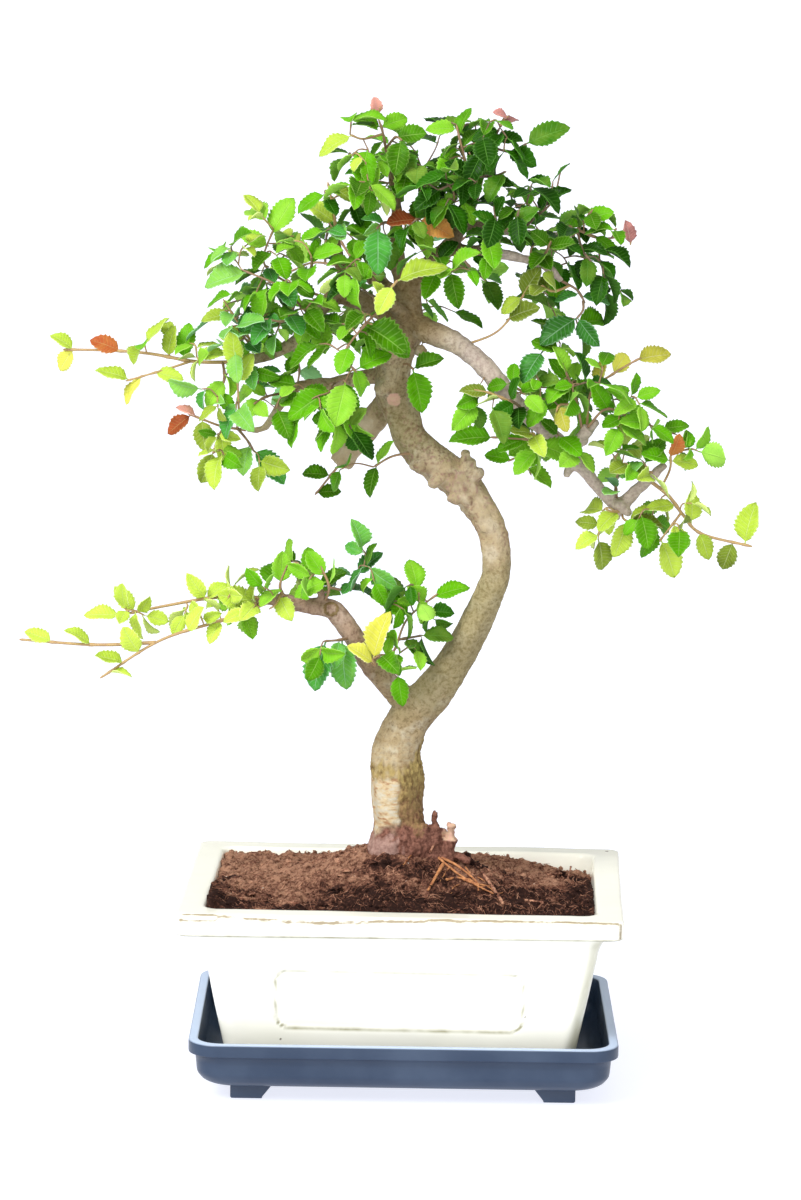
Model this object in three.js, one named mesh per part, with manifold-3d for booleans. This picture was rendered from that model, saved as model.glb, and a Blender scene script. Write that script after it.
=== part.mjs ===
// Chinese elm bonsai in a glazed pot that stands in a plastic drip tray.
// Millimetres, +Z up, the floor at z = 0. The front of the pot faces -Y.
import * as THREE from 'three';
import { mergeVertices } from 'three/addons/utils/BufferGeometryUtils.js';
import Module from 'manifold-3d';

const wasm = await Module();
wasm.setup();

// Drip tray: outer rim size, then heights above the floor
const tray = {
  width: 199.8, depth: 154.5, corner: 14, top: 28.8, bandHeight: 6, bandWidth: 4.4, wall: 1.8,
  underside: 7, flare: 10.9, footOuterX: 80.4, footInnerX: 60, footY: 57, footDepth: 11, back: 3,
};

// Pot: the lip is the widest part, the walls lean in towards the base, and it stands a little askew
const pot = {
  lipWidth: 206.6, lipDepth: 165, lipCorner: 5, top: 91.1, lipHeight: 9.3,
  baseWidth: 162, baseDepth: 118, corner: 8, underside: 15.1, lean: 12.9, cove: 2.4,
  wall: 5, floor: 6, footHeight: 6, footWidth: 26, footDepth: 18, turn: -1.6, middle: [-0.5, 4.5],
  drainX: 38, drainRadius: 7, panelHeight: 28.6, panelWidth: 115, panelDepth: 0.8, panelMiddle: 47.7,
};

// Soil: the level at the pot wall, the mound round the trunk and the crumbs
const soil = { level: 88.6, mound: 21, spreadX: 44, spreadY: 40, dip: 6, crumb: 1, cellsX: 17, cellsY: 12 };

// Plastic mesh squares over the drain holes
const mesh = { side: 20, thickness: 1.2, hole: 3.4, pitch: 5.2 };

// Touching pieces keep this much air between them
const gap = 0.3;
const trunkFoot = [-4, 0];

// Wood routes by hand: x, y, z and radius at each point
const wood = {
  trunk: [
    [-4, 0, 66, 8.5], [-4, 0, 92, 11], [-4, 0, 107, 14], [-4, 0, 114, 12.6], [-4, 0, 121, 11.8],
    [-5, 0, 130, 11.9], [-5, 1, 143, 12.4], [-5, 2, 153, 11.5], [-1, 3, 165, 10.3], [4, 4, 174, 9.9],
    [12, 4, 183, 9.2], [19, 3, 194, 8.3], [25, 1, 204, 7.7], [31, -1, 216, 7.4], [36, -3, 227, 7],
    [40, -4, 239, 6.7], [40, -4, 251, 6.8], [37, -3, 262, 6.9], [31, -1, 272, 7.4], [24, 0, 281, 8.2],
    [15, 1, 289, 8.6], [6, 2, 296, 8.4], [-1, 3, 304, 8], [-5, 3, 314, 8.3], [-9, 3, 323, 8.7],
    [-10, 3, 332, 8.3], [-8, 3, 343, 8], [-4, 3, 353, 8.4], [-3, 3, 365, 7], [-3, 3, 374, 5.2],
  ],
  low: [
    [3, 3, 175, 6.5], [-6, -1, 183, 6.2], [-13, -5, 191, 5.3], [-20, -8, 200, 5.2], [-26, -9, 210, 5],
    [-31, -9, 217, 4.8], [-37, -8, 223, 4.6], [-47, -6, 224, 4.1], [-56, -4, 225, 3.9],
    [-66, -2, 226, 2.5], [-75, 0, 224, 1.8],
  ],
  right: [
    [-3, 1, 357, 6.6], [10, -7, 353, 5.4], [22, -13, 348, 4.9], [33, -17, 339, 4.6], [42, -19, 329, 4.4],
    [50, -17, 320, 3.9], [57, -14, 313, 3.6], [66, -11, 306, 3.5], [74, -9, 296, 4], [80, -8, 291, 3],
    [88, -6, 281, 2.7], [97, -5, 274, 3.6], [105, -6, 281, 2.8], [112, -8, 288, 2.4], [118, -9, 294, 1.7],
  ],
  rightStub: [[73, -9, 297, 3.2], [77, -12, 304, 2.9], [82, -14, 311, 3.3]],
  rightSpur: [[74, -9, 296, 3], [72, -10, 287, 1.6]],
  left: [
    [-4, 3, 359, 6], [-16, 5, 363, 4.9], [-27, 3, 368, 4.6], [-37, -1, 369, 4], [-45, -4, 362, 3.3],
    [-53, -4, 350, 3], [-69, -3, 341, 2.5], [-85, -3, 338, 2.2],
  ],
  upperLeft: [[-29, 3, 368, 3.9], [-33, 0, 379, 3.3], [-36, -3, 389, 2.5], [-37, -5, 397, 1.7]],
  leftLow: [
    [-10, 3, 334, 4.2], [-25, 9, 330, 3.6], [-39, 9, 327, 3.2], [-51, 5, 327, 2.7], [-58, 1, 324, 2.2],
    [-64, -1, 315, 1.9], [-70, -1, 307, 1.6], [-78, -1, 306, 1.3],
  ],
  rearStub: [[-9, 8, 325, 5.5], [-18, 20, 310, 6], [-27, 27, 298, 6.3], [-34, 30, 287, 5.6]],
  apexRight: [
    [-3, 3, 371, 5.2], [6, -1, 384, 4.4], [15, -4, 393, 3.8], [21, -4, 403, 3.1], [26, -3, 414, 2.6],
    [29, -1, 425, 2], [29, 0, 435, 1.3],
  ],
  apexLeft: [
    [-4, 4, 371, 4.6], [-8, 5, 384, 3.8], [-9, 5, 398, 3.1], [-9, 3, 411, 2.5], [-11, 1, 424, 2],
    [-14, 0, 436, 1.3],
  ],
  shelf: [[14, -4, 392, 3], [29, -9, 392, 2.8], [46, -12, 390, 2.4], [60, -13, 386, 2], [68, -12, 379, 1.4]],
  shelfHigh: [[21, -3, 403, 2.8], [36, 3, 402, 2.5], [54, 4, 399, 2.1], [73, 1, 399, 1.4]],
  rearRight: [[-2, 6, 369, 4.2], [2, 24, 375, 3.5], [10, 42, 382, 2.6], [18, 58, 389, 1.6]],
  rearLeft: [[-6, 8, 367, 4.2], [-14, 24, 372, 3.5], [-26, 42, 377, 2.6], [-37, 56, 379, 1.6]],
  front: [[-5, -4, 360, 4], [-10, -20, 367, 3], [-18, -34, 371, 1.8]],
  bendStub: [[22, 0, 284, 4.6], [29, -3, 292, 4.2], [30, -4, 298, 3]],
};

// Knots and healed cuts: centre and radius
const knots = [[-14, -3, 327, 4.6], [3, -5, 291, 4.2], [12, -6, 284, 3.4], [35, -8, 262, 3], [5, 12, 176, 4]];

// Loose rootlets on the soil: x and y at each point, the height follows the soil
const rootlets = [
  [[14, -11], [22, -20], [31, -27], [41, -35]],
  [[14, -11], [24, -14], [33, -24], [34, -34]],
  [[19, -30], [25, -24], [31, -27], [40, -26]],
];
const rootletRadius = 0.8;

// Leaves: base sunk behind the stem's axis, then shares of the leaf's length
const leaf = {
  halfWidth: 0.3, thickness: 0.9, droop: 0.16, fold: 0.22, clear: 1.12, tries: 28, longest: 24,
  usual: 15, large: 20, middling: 13,
};
const twigRadius = { base: 1, tip: 0.62 };

const colours = {
  green: '#4fa52f', deep: '#2f8a2c', teal: '#3f9c62', lime: '#a4c83c', gold: '#d6c53f',
  bronze: '#b4703a', pink: '#e39b93',
};

// Leafy twigs by node: tint, route, number of loose leaves, and the tips of the leaves with a set place
const sprays = [
  ['crown_tip', [
    ['green', [[-14, 0, 436], [-16, -2, 446], [-18, -3, 452]], 0,
      [[-31, -5, 455], [-42, -8, 447], [-5, 2, 457], [-23, -12, 431]]],
    ['lime', [[-16, -2, 445], [-25, -8, 443], [-31, -10, 445]], 0, [[-46, -12, 437], [-42, -15, 432]]],
    ['green', [[-14, -1, 439], [-10, -8, 444], [-7, -14, 443]], 0,
      [[-10, -22, 428], [4, -10, 447], [12, -20, 433]]],
  ]],
  ['crown_tip_bud', [
    ['pink', [[-18.1, -3.1, 452.4], [-18, -4, 455], [-17, -6, 458]], 0,
      [[-20, -8, 462], [-14, -3, 462]]],
  ]],
  ['crown_peak', [
    ['green', [[28, -2, 419], [22, -7, 435], [18, -5, 450]], 0,
      [[3, -8, 449], [23, -2, 459], [11, -12, 439], [28, -2, 454]]],
    ['deep', [[22, -7, 434], [24, 16, 430], [29, 34, 426]], 3, []],
  ]],
  ['crown_peak_right', [
    ['deep', [[29, 0, 435], [35, -4, 443], [38, -6, 449]], 0,
      [[48, -12, 445], [26, -12, 445], [48, 6, 452]]],
    ['deep', [[33, -3, 440], [44, -4, 438], [51, -4, 442]], 1, [[70, -4, 451], [55, -10, 433]]],
  ]],
  ['crown_peak_bud', [
    ['pink', [[38.2, -6.1, 449.4], [40, -4, 453], [42, -2, 454]], 0,
      [[36, -8, 457], [49, -1, 456], [46, -8, 451]]],
  ]],
  ['crown_brow', [
    ['deep', [[29, -1, 426], [35, -14, 427], [41, -24, 430]], 0,
      [[32, -30, 417], [40, -34, 415], [53, -30, 418]]],
    ['deep', [[33, -10, 427], [22, -20, 426], [10, -24, 421]], 0,
      [[-1, -30, 413], [6, -26, 429], [22, -32, 415], [15, -22, 435]]],
  ]],
  ['crown_face', [
    ['deep', [[39, -11, 391], [38, -26, 402], [36, -34, 411]], 0,
      [[34, -44, 398], [26, -38, 414], [38, -42, 420]]],
    ['deep', [[38, -25, 401], [45, -34, 407], [47, -38, 414]], 0, [[47, -44, 398], [55, -40, 415]]],
  ]],
  ['crown_shoulder', [
    ['deep', [[49, 4, 400], [55, -8, 408], [60, -14, 414]], 1, [[61, -18, 422], [67, -18, 410]]],
    ['deep', [[53, -4, 406], [63, -2, 415], [67, 0, 430]], 0, []],
  ]],
  ['crown_shoulder_end', [
    ['green', [[73, 1, 399], [78, -2, 406], [82, -4, 412]], 0,
      [[91, -5, 412], [75, -10, 414], [86, -14, 402]]],
    ['green', [[75, 0, 402], [86, 2, 398], [97, 3, 399]], 1, [[90, 2, 405], [94, -4, 393]]],
    ['deep', [[75, 0, 402], [77, -14, 394], [81, -20, 389]], 1,
      [[80, -26, 379], [91, -24, 383], [89, -20, 393]]],
  ]],
  ['crown_right_bud', [
    ['pink', [[97.5, 3, 399], [100, 3, 398], [100, 2, 395]], 0, [[98, 1, 407], [102, -1, 391]]],
  ]],
  ['shelf_face', [
    ['green', [[57, -13, 387], [60, -24, 393], [62, -30, 399]], 0,
      [[53, -36, 389], [72, -34, 400], [66, -38, 390], [54, -36, 403]]],
  ]],
  ['shelf_tip', [
    ['teal', [[68, -12, 379], [75, -12, 375], [79, -12, 369]], 0, [[61, -20, 372], [92, -10, 371]]],
    ['teal', [[78, -12, 370], [78, -14, 366], [75, -16, 362]], 0, [[58, -22, 352], [90, -18, 344]]],
    ['lime', [[72, -12, 377], [64, -20, 375], [58, -26, 378]], 2, [[61, -30, 384]]],
  ]],
  ['crown_inner', [
    ['green', [[10, -3, 388], [11, -16, 384], [17, -26, 384]], 0,
      [[20, -32, 368], [42, -30, 377], [27, -34, 395]]],
  ]],
  ['crown_gold', [
    ['lime', [[-18, -33, 371], [-12, -38, 376], [-8, -42, 381]], 0,
      [[22, -44, 396], [-17, -46, 366], [-20, -46, 379]]],
  ]],
  ['crown_bronze', [
    ['bronze', [[-9, 3, 408], [-3, -10, 407], [2, -18, 407]], 0,
      [[-13, -26, 407], [17, -24, 402], [11, -28, 394]]],
  ]],
  ['crown_teal', [
    ['teal', [[-9, 4, 404], [-15, -16, 405], [-18, -26, 403]], 0,
      [[-17, -36, 385], [-33, -30, 395], [-32, -24, 409]]],
  ]],
  ['crown_left_fork', [
    ['lime', [[-37, -5, 397], [-38, -8, 409], [-41, -10, 423]], 0, [[-49, -12, 413], [-29, -12, 415]]],
  ]],
  ['crown_left_rise', [
    ['green', [[-39, -2, 368], [-57, -8, 375], [-70, -10, 385], [-66, -10, 401]], 1,
      [[-58, -8, 416], [-81, -10, 399], [-53, -6, 409], [-47, -16, 402]]],
    ['green', [[-52, -7, 373], [-48, -18, 384], [-48, -24, 390]], 0,
      [[-51, -32, 381], [-35, -30, 395], [-45, -26, 401]]],
  ]],
  ['crown_left_edge', [
    ['teal', [[-47, -4, 359], [-62, -22, 375], [-80, -22, 383]], 2, [[-98, -18, 376], [-56, -36, 370]]],
    ['teal', [[-55, -14, 368], [-59, -24, 360], [-69, -30, 361]], 2, [[-52, -34, 356], [-75, -34, 351]]],
  ]],
  ['left_lime', [
    ['lime', [[-71, -3, 341], [-82, -6, 357], [-89, -8, 368]], 0, [[-99, -10, 359], [-89, -12, 352]]],
    ['teal', [[-74, -4, 346], [-77, -14, 349], [-81, -20, 354]], 3, []],
  ]],
  ['far_left', [
    ['lime', [[-85, -3, 338], [-102, -2, 338], [-123, 1, 341], [-141, 3, 342], [-164, 5, 342]], 1,
      [[-169, 5, 350], [-171, 5, 333], [-151, 3, 348], [-113, -4, 354], [-106, 4, 356]]],
    ['lime', [[-104, -2, 338], [-117, -6, 334], [-134, -8, 329]], 0,
      [[-147, -10, 336], [-137, -10, 318], [-107, -8, 331]]],
    ['green', [[-89, -3, 338], [-88, -8, 331], [-90, -10, 324]], 2, [[-96, -14, 319], [-82, -16, 323]]],
  ]],
  ['left_low_tip', [
    ['bronze', [[-78, -1, 306], [-89, -4, 308], [-97, -6, 311], [-105, -6, 314]], 0,
      [[-115, -6, 305], [-126, -4, 298], [-97, -12, 298], [-111, -8, 319]]],
    ['lime', [[-88, -4, 308], [-91, -8, 302], [-93, -10, 296]], 0, [[-98, -12, 282], [-87, -14, 292]]],
    ['lime', [[-82, -2, 307], [-81, -12, 316], [-82, -18, 339]], 1, [[-85, -20, 354], [-75, -20, 344]]],
    ['teal', [[-82, -2, 307], [-77, -8, 302], [-74, -8, 297]], 0, [[-80, -14, 287], [-58, -8, 283]]],
  ]],
  ['left_low_face', [
    ['green', [[-58, 1, 324], [-68, -10, 323], [-74, -16, 320]], 2, [[-80, -20, 313], [-69, -24, 313]]],
  ]],
  ['front_low', [
    ['green', [[-39, 9, 327], [-37, -14, 330], [-39, -26, 327]], 0,
      [[-58, -30, 317], [-39, -34, 313], [-53, -22, 309]]],
    ['green', [[-37, -10, 329], [-33, -26, 333], [-31, -34, 333]], 0, [[-35, -42, 314], [-22, -34, 313]]],
  ]],
  ['front_bright', [
    ['green', [[-13, -23, 368], [-23, -32, 359], [-32, -37, 346], [-26, -40, 338]], 0,
      [[-1, -44, 349], [-34, -46, 339], [-50, -42, 355], [-19, -48, 367], [-22, -36, 324]]],
  ]],
  ['bend_leaf', [
    ['green', [[-6, 2, 337], [-3, -8, 339], [0, -14, 337]], 0, [[5, -18, 318], [13, -16, 344]]],
  ]],
  ['right_straight', [
    ['lime', [[22, -13, 348], [40, -17, 357], [53, -20, 378]], 0,
      [[56, -24, 369], [31, -20, 363], [57, -22, 386]]],
  ]],
  ['right_under', [
    ['deep', [[54, -15, 316], [48, -27, 323], [44, -33, 326]], 0,
      [[48, -38, 315], [36, -36, 318], [47, -38, 337]]],
    ['lime', [[48, -27, 323], [36, -29, 328], [28, -31, 330]], 0, [[22, -34, 331], [27, -34, 323]]],
  ]],
  ['right_rise', [
    ['green', [[79, -13, 309], [75, -17, 326], [69, -20, 341]], 0,
      [[66, -22, 350], [55, -28, 345], [62, -30, 327], [82, -16, 346]]],
    ['gold', [[76, -16, 322], [68, -26, 323], [66, -30, 320]], 0, [[70, -38, 313], [57, -38, 327]]],
  ]],
  ['right_gold', [
    ['gold', [[81, -10, 311], [83, -6, 327], [94, -4, 336], [106, -2, 343]], 0,
      [[120, 0, 346], [87, -2, 343], [100, 4, 345]]],
  ]],
  ['right_reach', [
    ['green', [[81, -14, 311], [90, -14, 320], [103, -12, 315], [123, -10, 308]], 0,
      [[83, -20, 332], [100, -18, 323], [88, -24, 314], [111, -8, 314], [129, -8, 313]]],
  ]],
  ['right_slender', [
    ['green', [[67, -10, 304], [53, -12, 305], [36, -14, 306]], 0,
      [[17, -16, 306], [39, -14, 301], [46, -10, 312]]],
    ['lime', [[58, -11, 305], [56, -24, 309], [54, -30, 310]], 0, [[46, -36, 313], [60, -36, 301]]],
  ]],
  ['right_pale', [
    ['green', [[75, -8, 295], [58, 4, 298], [45, 8, 292]], 0, [[34, 8, 295], [45, 4, 284], [55, 10, 302]]],
    ['green', [[49, 7, 294], [54, 6, 290], [56, 4, 286]], 0, [[66, 4, 281], [62, 10, 291]]],
  ]],
  ['right_knot_top', [
    ['teal', [[96, -5, 276], [95, -12, 286], [97, -15, 292]], 0,
      [[106, -20, 296], [88, -18, 295], [90, -20, 283]]],
    ['green', [[95, -11, 286], [99, 8, 288], [102, 20, 288]], 3, []],
  ]],
  ['right_knot_under', [
    ['lime', [[98, -5, 273], [99, -8, 268], [101, -9, 267]], 0, [[96, -12, 250], [118, -10, 266]]],
    ['lime', [[99, -6, 271], [93, -14, 272], [90, -17, 274]], 0, [[87, -20, 266]]],
  ]],
  ['right_tip', [
    ['lime', [[111, -8, 286], [120, -9, 279], [127, -8, 270], [136, -6, 261], [160, -4, 255]], 0,
      [[130, -8, 284], [110, -16, 275], [159, -6, 276], [140, -8, 249], [146, -2, 243]]],
    ['lime', [[126, -8, 271], [122, -11, 266], [116, -12, 258]], 0,
      [[127, -16, 253], [125, -12, 241], [114, -12, 240]]],
    ['bronze', [[116, -9, 282], [120, -13, 292], [120, -15, 299]], 0,
      [[107, -19, 301], [134, -10, 295], [123, -17, 309]]],
  ]],
  ['low_shoot_top', [
    ['lime', [[-69, -2, 227], [-91, 3, 226], [-116, 6, 221], [-141, 8, 215]], 0,
      [[-139, 6, 230], [-105, 0, 237], [-154, 8, 217], [-88, 6, 235]]],
  ]],
  ['low_shoot', [
    ['lime', [[-66, -2, 225], [-87, -6, 217], [-117, -9, 207], [-145, -11, 189]], 0,
      [[-134, -16, 213], [-147, -12, 201], [-129, -14, 194], [-98, -14, 224], [-94, -14, 208]]],
    ['lime', [[-119, -9, 206], [-148, -6, 204], [-184, 0, 205]], 0,
      [[-160, -10, 213], [-181, -2, 210], [-143, -4, 212]]],
  ]],
  ['low_knob', [
    ['green', [[-56, -4, 225], [-61, -8, 233], [-58, -8, 243]], 0,
      [[-60, -8, 250], [-48, -12, 246], [-76, -6, 244], [-72, -20, 223]]],
    ['lime', [[-60, -7, 231], [-63, -16, 226], [-66, -18, 224]], 0, [[-56, -20, 220], [-73, -20, 230]]],
  ]],
  ['low_twig', [
    ['green', [[-41, -7, 224], [-38, -13, 234], [-42, -12, 244]], 0,
      [[-54, -18, 232], [-49, -10, 251], [-35, -14, 251]]],
    ['teal', [[-38, -13, 234], [-28, -6, 232], [-25, -2, 240]], 0,
      [[-14, -4, 250], [-16, 2, 231], [-28, -14, 225]]],
    ['green', [[-38, -12, 232], [-43, 8, 228], [-45, 22, 227]], 3, []],
  ]],
  ['low_hang', [
    ['teal', [[-26, -9, 210], [-33, -18, 210], [-40, -22, 210]], 0,
      [[-46, -24, 187], [-49, -26, 207], [-35, -26, 198], [-30, -18, 186]]],
  ]],
  ['low_gold', [
    ['gold', [[-19, -8, 199], [-16, -17, 198], [-17, -23, 202]], 0,
      [[-12, -26, 225], [-3, -30, 212], [-28, -24, 209]]],
  ]],
  ['low_right', [
    ['green', [[-14, -5, 192], [-7, -8, 204], [-1, -8, 219], [13, -7, 231]], 1,
      [[27, -6, 236], [-17, -10, 233], [-1, -14, 234], [27, -4, 229]]],
    ['deep', [[-5, -8, 209], [2, -12, 211], [6, -13, 212]], 0,
      [[5, -18, 203], [21, -10, 212], [13, -16, 195]]],
    ['green', [[-10, -6, 198], [-6, -14, 194], [-5, -18, 194]], 0, [[-3, -22, 180], [3, -24, 200]]],
  ]],
  ['rear_twig', [
    ['green', [[-34, 30, 287], [-40, 33, 279], [-46, 36, 271]], 0, [[-52, 32, 282], [-34, 34, 274]]],
  ]],
  ['bend_twig', [
    ['green', [[6, 2, 296], [-8, -8, 296], [-18, -12, 291]], 0,
      [[-21, -16, 278], [-33, -14, 280], [-11, -12, 304]]],
  ]],
  ['rear_right_twig', [
    ['green', [[10, 42, 382], [22, 56, 392], [35, 62, 399]], 3, []],
    ['deep', [[16, 49, 387], [14, 50, 401], [15, 48, 413]], 3, []],
  ]],
  ['rear_end', [
    ['green', [[18, 58, 389], [27, 74, 377], [35, 82, 370]], 3, []],
    ['teal', [[22, 66, 383], [18, 76, 392], [12, 84, 398]], 3, []],
  ]],
  ['rear_left_twig', [
    ['green', [[-26, 42, 377], [-35, 52, 390], [-43, 54, 402]], 3, []],
    ['lime', [[-30, 47, 383], [-34, 62, 369], [-39, 72, 361]], 3, []],
  ]],
  ['rear_left_end', [
    ['green', [[-37, 56, 379], [-49, 68, 379], [-60, 74, 374]], 3, []],
    ['deep', [[-43, 62, 379], [-43, 74, 389], [-41, 82, 397]], 3, []],
  ]],
  ['rear_top', [
    ['deep', [[-11, 1, 424], [-6, 22, 424], [-3, 38, 426]], 3, []],
    ['green', [[-8, 15, 424], [-13, 28, 418], [-18, 40, 411]], 2, []],
  ]],
  ['rear_shoulder', [
    ['green', [[54, 4, 399], [59, 26, 395], [65, 42, 389]], 3, []],
    ['deep', [[56, 15, 397], [66, 26, 401], [74, 32, 403]], 2, []],
  ]],
  ['rear_right', [
    ['green', [[42, -19, 329], [48, 12, 328], [56, 34, 329]], 3, []],
    ['lime', [[45, -2, 329], [60, 12, 321], [69, 18, 318]], 2, []],
  ]],
  ['rear_left', [
    ['green', [[-53, -4, 350], [-60, 20, 344], [-68, 36, 339]], 3, []],
    ['teal', [[-57, 10, 346], [-54, 24, 333], [-55, 30, 323]], 2, []],
  ]],
];

const vector = (point) => new THREE.Vector3(point[0], point[1], point[2]);

function solid(geometry) {
  for (const name of ['normal', 'uv']) geometry.deleteAttribute(name);
  const merged = mergeVertices(geometry, 1e-4);
  return new wasm.Manifold(new wasm.Mesh({
    numProp: 3,
    vertProperties: merged.attributes.position.array,
    triVerts: Uint32Array.from(merged.index.array),
  }));
}

function join(solids) {
  return solids.reduce((whole, piece) => whole.add(piece));
}

// Only the largest body stays, so that no scrap hangs loose
function largest(whole) {
  return whole.decompose().reduce((best, piece) => (piece.volume() > best.volume() ? piece : best));
}

// Moves every vertex of a geometry by a rule
function reshape(geometry, rule) {
  const place = geometry.attributes.position;
  const point = new THREE.Vector3();
  for (let index = 0; index < place.count; index += 1) {
    point.fromBufferAttribute(place, index);
    rule(point);
    place.setXYZ(index, point.x, point.y, point.z);
  }
  return geometry;
}

function roundedRectangle(width, depth, corner) {
  const outline = new THREE.Shape();
  const x = width / 2 - corner;
  const y = depth / 2 - corner;
  outline.absarc(x, y, corner, 0, Math.PI / 2);
  outline.absarc(-x, y, corner, Math.PI / 2, Math.PI);
  outline.absarc(-x, -y, corner, Math.PI, Math.PI * 1.5);
  outline.absarc(x, -y, corner, Math.PI * 1.5, Math.PI * 2);
  return outline;
}

// A rounded block in layers: each layer has a height and how far the side has grown outwards there
function block(width, depth, corner, layers, arcs = 2) {
  const steps = layers.length - 1;
  const outline = roundedRectangle(width, depth, corner);
  const geometry = new THREE.ExtrudeGeometry(outline, {
    depth: steps, steps, bevelEnabled: false, curveSegments: arcs,
  });
  return solid(reshape(geometry, (point) => {
    const [height, grown] = layers[Math.round(point.z)];
    point.x += Math.sign(point.x) * grown;
    point.y += Math.sign(point.y) * grown;
    point.z = height;
  }));
}

// A tapered tube through a route of points, with one ring of vertices at each
function stem(route, radii, sides, relief = () => 1) {
  const rings = route.length - 1;
  const across = [];
  const tangents = route.map((point, index) => {
    const next = route[Math.min(index + 1, rings)];
    return next.clone().sub(route[Math.max(index - 1, 0)]).normalize();
  });
  let side = new THREE.Vector3(0.36, 0.93, 0.1);
  for (const tangent of tangents) {
    side = side.clone().addScaledVector(tangent, -side.dot(tangent)).normalize();
    across.push([side, side.clone().cross(tangent)]);
  }
  const geometry = new THREE.CylinderGeometry(1, 1, rings, sides, rings);
  return solid(reshape(geometry, (point) => {
    const ring = Math.round(point.y + rings / 2);
    const angle = Math.atan2(point.z, point.x);
    const reach = radii[ring] * relief(angle, ring);
    const [first, second] = across[ring];
    const { x, z } = point;
    point.copy(route[ring]).addScaledVector(first, x * reach).addScaledVector(second, z * reach);
  }));
}

// Drip tray
function makeTray() {
  const { width, depth, corner, top, bandHeight, bandWidth, wall, underside, flare } = tray;
  const bandFoot = top - bandHeight;
  const side = [
    [underside, -flare], [underside + 2.4, -flare + 4.6], [underside + 6, -flare + 7], [bandFoot, -3],
  ];
  const body = block(width, depth, corner, [...side, [top - 1, -3]]);
  const band = block(width, depth, corner, [[bandFoot, 0], [top, 0]]);
  const inside = side.map(([height, grown]) => [height + wall, grown - wall]);
  const hollow = block(width, depth, corner, [...inside, [top + 1, -bandWidth]]);
  const trapezoid = new THREE.Shape([
    new THREE.Vector2(tray.footOuterX - 2, 0), new THREE.Vector2(tray.footOuterX, underside + 1),
    new THREE.Vector2(tray.footInnerX, underside + 1), new THREE.Vector2(tray.footInnerX + 7, 0),
  ]);
  const feet = [];
  for (const turn of [1, -1]) {
    for (const place of [1, -1]) {
      const foot = new THREE.ExtrudeGeometry(trapezoid, { depth: tray.footDepth, bevelEnabled: false });
      foot.rotateX(Math.PI / 2);
      foot.rotateZ(turn > 0 ? 0 : Math.PI);
      foot.translate(0, place * tray.footY + turn * tray.footDepth / 2, 0);
      feet.push(solid(foot));
    }
  }
  return join([body.add(band).subtract(hollow), ...feet]).translate([0, tray.back, 0]);
}

// Pot: how far the outer wall has grown at a height
function potGrowth(height) {
  const share = (height - pot.underside) / (pot.top - pot.lipHeight - pot.underside);
  return pot.lean * share;
}

function askew(body) {
  return body.rotate([0, 0, pot.turn]).translate([...pot.middle, 0]);
}

function makePot() {
  const lipFoot = pot.top - pot.lipHeight;
  const floorTop = pot.underside + pot.floor;
  const body = block(pot.baseWidth, pot.baseDepth, pot.corner, [
    [pot.underside, 0], [lipFoot - 7, potGrowth(lipFoot - 7)], [lipFoot + 1, potGrowth(lipFoot) + pot.cove],
  ]);
  const lip = block(pot.lipWidth, pot.lipDepth, pot.lipCorner, [[lipFoot, 0], [pot.top, 0]]);
  const hollow = block(pot.baseWidth, pot.baseDepth, pot.corner, potInside(0, floorTop, pot.top + 1));
  const feet = [];
  const drains = [];
  for (const x of [-1, 1]) {
    const drain = new THREE.CylinderGeometry(pot.drainRadius, pot.drainRadius, pot.floor + 4, 12);
    drain.rotateX(Math.PI / 2);
    drain.translate(x * pot.drainX, 0, floorTop - pot.floor / 2);
    drains.push(solid(drain));
    for (const y of [-1, 1]) {
      const foot = block(pot.footWidth, pot.footDepth, 4, [
        [pot.underside - pot.footHeight, -1], [pot.underside + 1, 0],
      ], 1);
      const footX = x * (pot.baseWidth - pot.footWidth - 8) / 2;
      const footY = y * (pot.baseDepth - pot.footDepth - 8) / 2;
      feet.push(foot.translate([footX, footY, 0]));
    }
  }
  const panels = [0, 1, 2, 3].map((side) => makePanel(side));
  return askew(join([body, lip, ...feet]).subtract(join([hollow, ...drains, ...panels])));
}

// Layers of the pot's inside, drawn in by a clearance
function potInside(clearance, bottom, top) {
  return [bottom, top].map((height) => [height, potGrowth(height) - pot.wall - clearance]);
}

// A shallow sunken panel on one side of the pot, laid along the lean of the wall
function makePanel(side) {
  const long = side % 2 === 0;
  const width = long ? pot.panelWidth : pot.panelWidth - (pot.baseWidth - pot.baseDepth);
  const outline = roundedRectangle(width, pot.panelHeight, 6);
  const panel = new THREE.ExtrudeGeometry(outline, { depth: 4, bevelEnabled: false, curveSegments: 2 });
  panel.rotateX(Math.PI / 2);
  panel.rotateX(Math.atan2(pot.lean, pot.top - pot.lipHeight - pot.underside));
  const half = (long ? pot.baseDepth : pot.baseWidth) / 2;
  panel.translate(0, -(half + potGrowth(pot.panelMiddle)) + pot.panelDepth, pot.panelMiddle);
  panel.rotateZ(side * Math.PI / 2);
  return solid(panel);
}

// Mesh square with a grid of square holes
function makeDrainMesh(side) {
  const bottom = pot.underside + pot.floor + gap;
  const plate = new THREE.BoxGeometry(mesh.side, mesh.side, mesh.thickness);
  plate.translate(0, 0, bottom + mesh.thickness / 2);
  const holes = [];
  for (const column of [-1, 0, 1]) {
    for (const row of [-1, 0, 1]) {
      const hole = new THREE.BoxGeometry(mesh.hole, mesh.hole, mesh.thickness * 3);
      hole.translate(column * mesh.pitch, row * mesh.pitch, bottom);
      holes.push(solid(hole));
    }
  }
  return askew(solid(plate).subtract(join(holes)).translate([side * pot.drainX, 0, 0]));
}

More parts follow.
